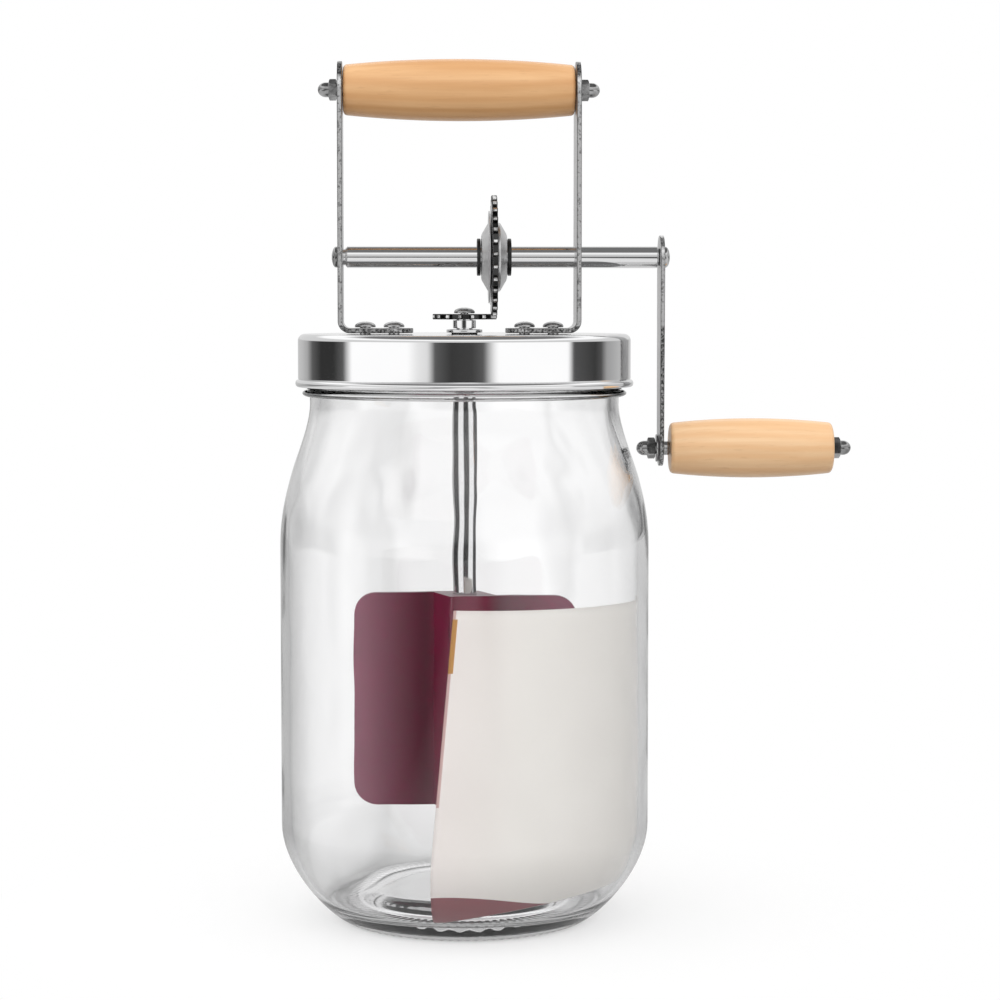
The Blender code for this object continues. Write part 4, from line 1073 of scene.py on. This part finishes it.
# The grey ring under the jar's foot is a painted contact shadow.
below_jar = pale.ramp(away, [(0.030, 0.0), (0.036, 0.8), (0.042, 0.8), (0.048, 0.0)])
plain = pale.blend(seen, grey(0.38), grey(0.93))
pale.feed(Base_Color=pale.blend(below_jar, plain, grey(0.25)))
white = pale.node("ShaderNodeEmission", (), {"Color": grey(1), "Strength": 1.0})
# Rays that pass the floor see it dimmer near the jar, a painted shadow under the churn.
near_jar = pale.ramp(away / 0.3, [(0.0, 0.66), (0.35, 0.76), (1.0, 1.0)])
clear = pale.node("ShaderNodeBsdfTransparent", (), {"Color": near_jar})
beside = pale.ramp(floor_x.maths("ABSOLUTE"), [(0.10, 0.0), (0.24, 1.0)])
off_runner = beside.maths("MAXIMUM", pale.ramp(floor_y + 1.0, [(0.78, 0.0), (0.84, 1.0)]))
passed = (off_gloss * off_runner).maths("MAXIMUM", through_glass)
beyond = pale.node("ShaderNodeMixShader", (), {0: passed, 1: white, 2: clear})
faded = (far * seen * (1.0 - below_jar)).maths("MAXIMUM", through_glass)
lit_floor = Wire(pale, pale.shader.outputs[0])
floor_surface = pale.node("ShaderNodeMixShader", (), {0: faded, 1: lit_floor, 2: beyond})
pale.plug(pale.tree.nodes["Material Output"].inputs["Surface"], floor_surface)
floor.data.materials.append(pale.material)
print("floor:", len(floor.data.polygons), "faces")

# %% [markdown]
# A product table has tall white panels round it, with dark gaps between them, and polished steel and glass
# show them. Here the world plays the panels: a table gives the light at each angle round the churn, in degrees
# from the front. Matt surfaces get a soft light from the upper left, and the camera sees white.
# %% Light tables
world = bpy.data.worlds.new("studio")
bpy.context.scene.world = world
world.use_nodes = True
sky = NodeBook(world.node_tree)
sky_x, sky_y, sky_z = sky.parts(sky.node("ShaderNodeTexCoord", output="Generated"))
azimuth = sky_x.maths("ARCTAN2", 0.0 - sky_y) / math.tau + 0.5


def round_table(*levels):
    """Light by the angle round the churn, from pairs of degrees and brightness."""
    return sky.ramp(azimuth, [((angle + 180) / 360, level) for angle, level in levels])


panels = round_table(
    (-180, 0.72), (-168, 0.49), (-150, 0.46), (-139, 0.37), (-130, 0.1), (-117, 0.03), (-102, 0.03), (-92, 0.1),
    (-84, 1.0), (-40, 1.0), (-33, 0.8), (-26, 0.72), (-21, 0.1), (-10, 0.04), (4, 0.05), (12, 0.1), (19, 0.8),
    (22, 1.0), (74, 1.0), (79, 0.08), (100, 0.04), (107, 0.08), (114, 0.33), (134, 0.46), (138, 0.11), (148, 0.13),
    (158, 0.46), (180, 0.72),
)
low_panels = round_table(
    (-180, 0.6), (-130, 0.4), (-84, 1.2), (-68, 1.1), (-48, 0.5), (-30, 0.08), (12, 0.08), (26, 0.95), (60, 1.1),
    (120, 0.6), (180, 0.6),
)
rod_panels = round_table(
    (-180, 0.5), (-126, 0.5), (-120, 0.04), (-68, 0.04), (-56, 1.2), (-16, 1.2), (-6, 0.05), (34, 0.06), (44, 1.2),
    (88, 1.2), (100, 0.06), (150, 0.08), (180, 0.5),
)
wings = round_table(
    (-172, 1.0), (-150, 0.6), (-110, 0.55), (-60, 0.85), (60, 0.85), (110, 0.55), (150, 0.6), (172, 1.0)
)
behind = sky.ramp(sky_x / 0.2 + 0.5, [
    (0.0, 1.0), (0.26, 0.86), (0.32, 0.80), (0.36, 0.79), (0.40, 0.90), (0.46, 1.0), (0.84, 1.0), (0.93, 0.88),
    (1.0, 1.0),
])
ceiling = sky.ramp(sky_z, [(0.17, 0.62), (0.42, 0.62), (0.52, 1.0), (0.67, 1.0), (0.80, 0.17)])
print("light tables:", 6)

# %% [markdown]
# A reflection sees the panels, a ceiling above them and softer panels below. A ray through the glass sees a
# nearly white wall, dimmer where it was bent far up or down. Inside the jar the rod mirrors a table of its own,
# and light that bounced more than once comes out middle grey.
# %% World light
reflected = sky.blend(sky.ramp(sky_z, [(0.03, 0.0), (0.10, 1.0)]), panels, ceiling)
reflected = sky.blend(1.0, reflected, grey(1.25), "MULTIPLY")
reflected = sky.blend(sky_z < -0.06, reflected, low_panels)
toward_key = sky_x * -0.35 + sky_y * -0.45 + sky_z * 0.82
matt_light = 0.62 + toward_key.maths("MAXIMUM", 0.0)
is_camera, is_glossy, is_through, mirrors, matt_bounces, walls = sky.rays(
    "Is Camera Ray", "Is Glossy Ray", "Is Transmission Ray", "Glossy Depth", "Diffuse Depth", "Transmission Depth"
)
from_below = sky.ramp(0.0 - sky_z, [(0.2, 0.0), (0.4, 1.0)])
bent = sky.ramp((sky_z + 0.07).maths("ABSOLUTE"), [(0.12, 1.0), (0.30, 0.5)])
through = sky.blend(1.0, sky.blend(1.0, behind, wings, "MULTIPLY"), bent, "MULTIPLY")
in_jar = sky.blend((walls > 2.5) * (sky_z < 0.06), reflected, rod_panels)
light = sky.blend(is_glossy, matt_light, sky.blend(from_below, reflected, grey(0.85)))
light = sky.blend(is_through, light, through)
light = sky.blend(is_through * (mirrors > 0.5), light, sky.blend(from_below, in_jar, grey(0.85)))
light = sky.blend(is_through * (mirrors > 1.5), light, grey(0.6))
light = sky.blend(is_through * (matt_bounces > 0.5), light, matt_light * 1.75)
light = sky.blend(is_camera, light, grey(1))
sky.plug(sky.tree.nodes["Background"].inputs["Color"], light)
print("world nodes:", len(world.node_tree.nodes))

# %% [markdown]
# The camera stands a metre in front of the jar's axis, a hair to the left and a little below the crank, and
# looks slightly down. A long lens keeps the two sides of the lid almost parallel.
# %% Camera
camera_data = bpy.data.cameras.new("camera")
camera_data.sensor_width = 36
camera_data.lens = 97.2
camera = bpy.data.objects.new("camera", camera_data)
bpy.context.scene.collection.objects.link(camera)
bpy.context.scene.camera = camera
camera_side, camera_height = math.radians(-1.1), 0.2277
lens_pixels, drop_pixels, aside_pixels = 2700, 195, 35.5
camera.location = (math.sin(camera_side), -math.cos(camera_side), camera_height)
pitch = math.atan(drop_pixels / lens_pixels)
yaw = -camera_side + math.atan(aside_pixels / lens_pixels)
camera.rotation_euler = (math.pi / 2 - pitch, 0, -yaw)
bpy.context.scene.view_settings.view_transform = "Standard"

# %% [markdown]
# The script ends by counting the dressed pieces and their faces. The dressed churn has to fill the same
# box as its solids.
# %% Pieces and faces
print("pieces:", len(dressed), "faces:", sum(len(piece.data.polygons) for piece in dressed))
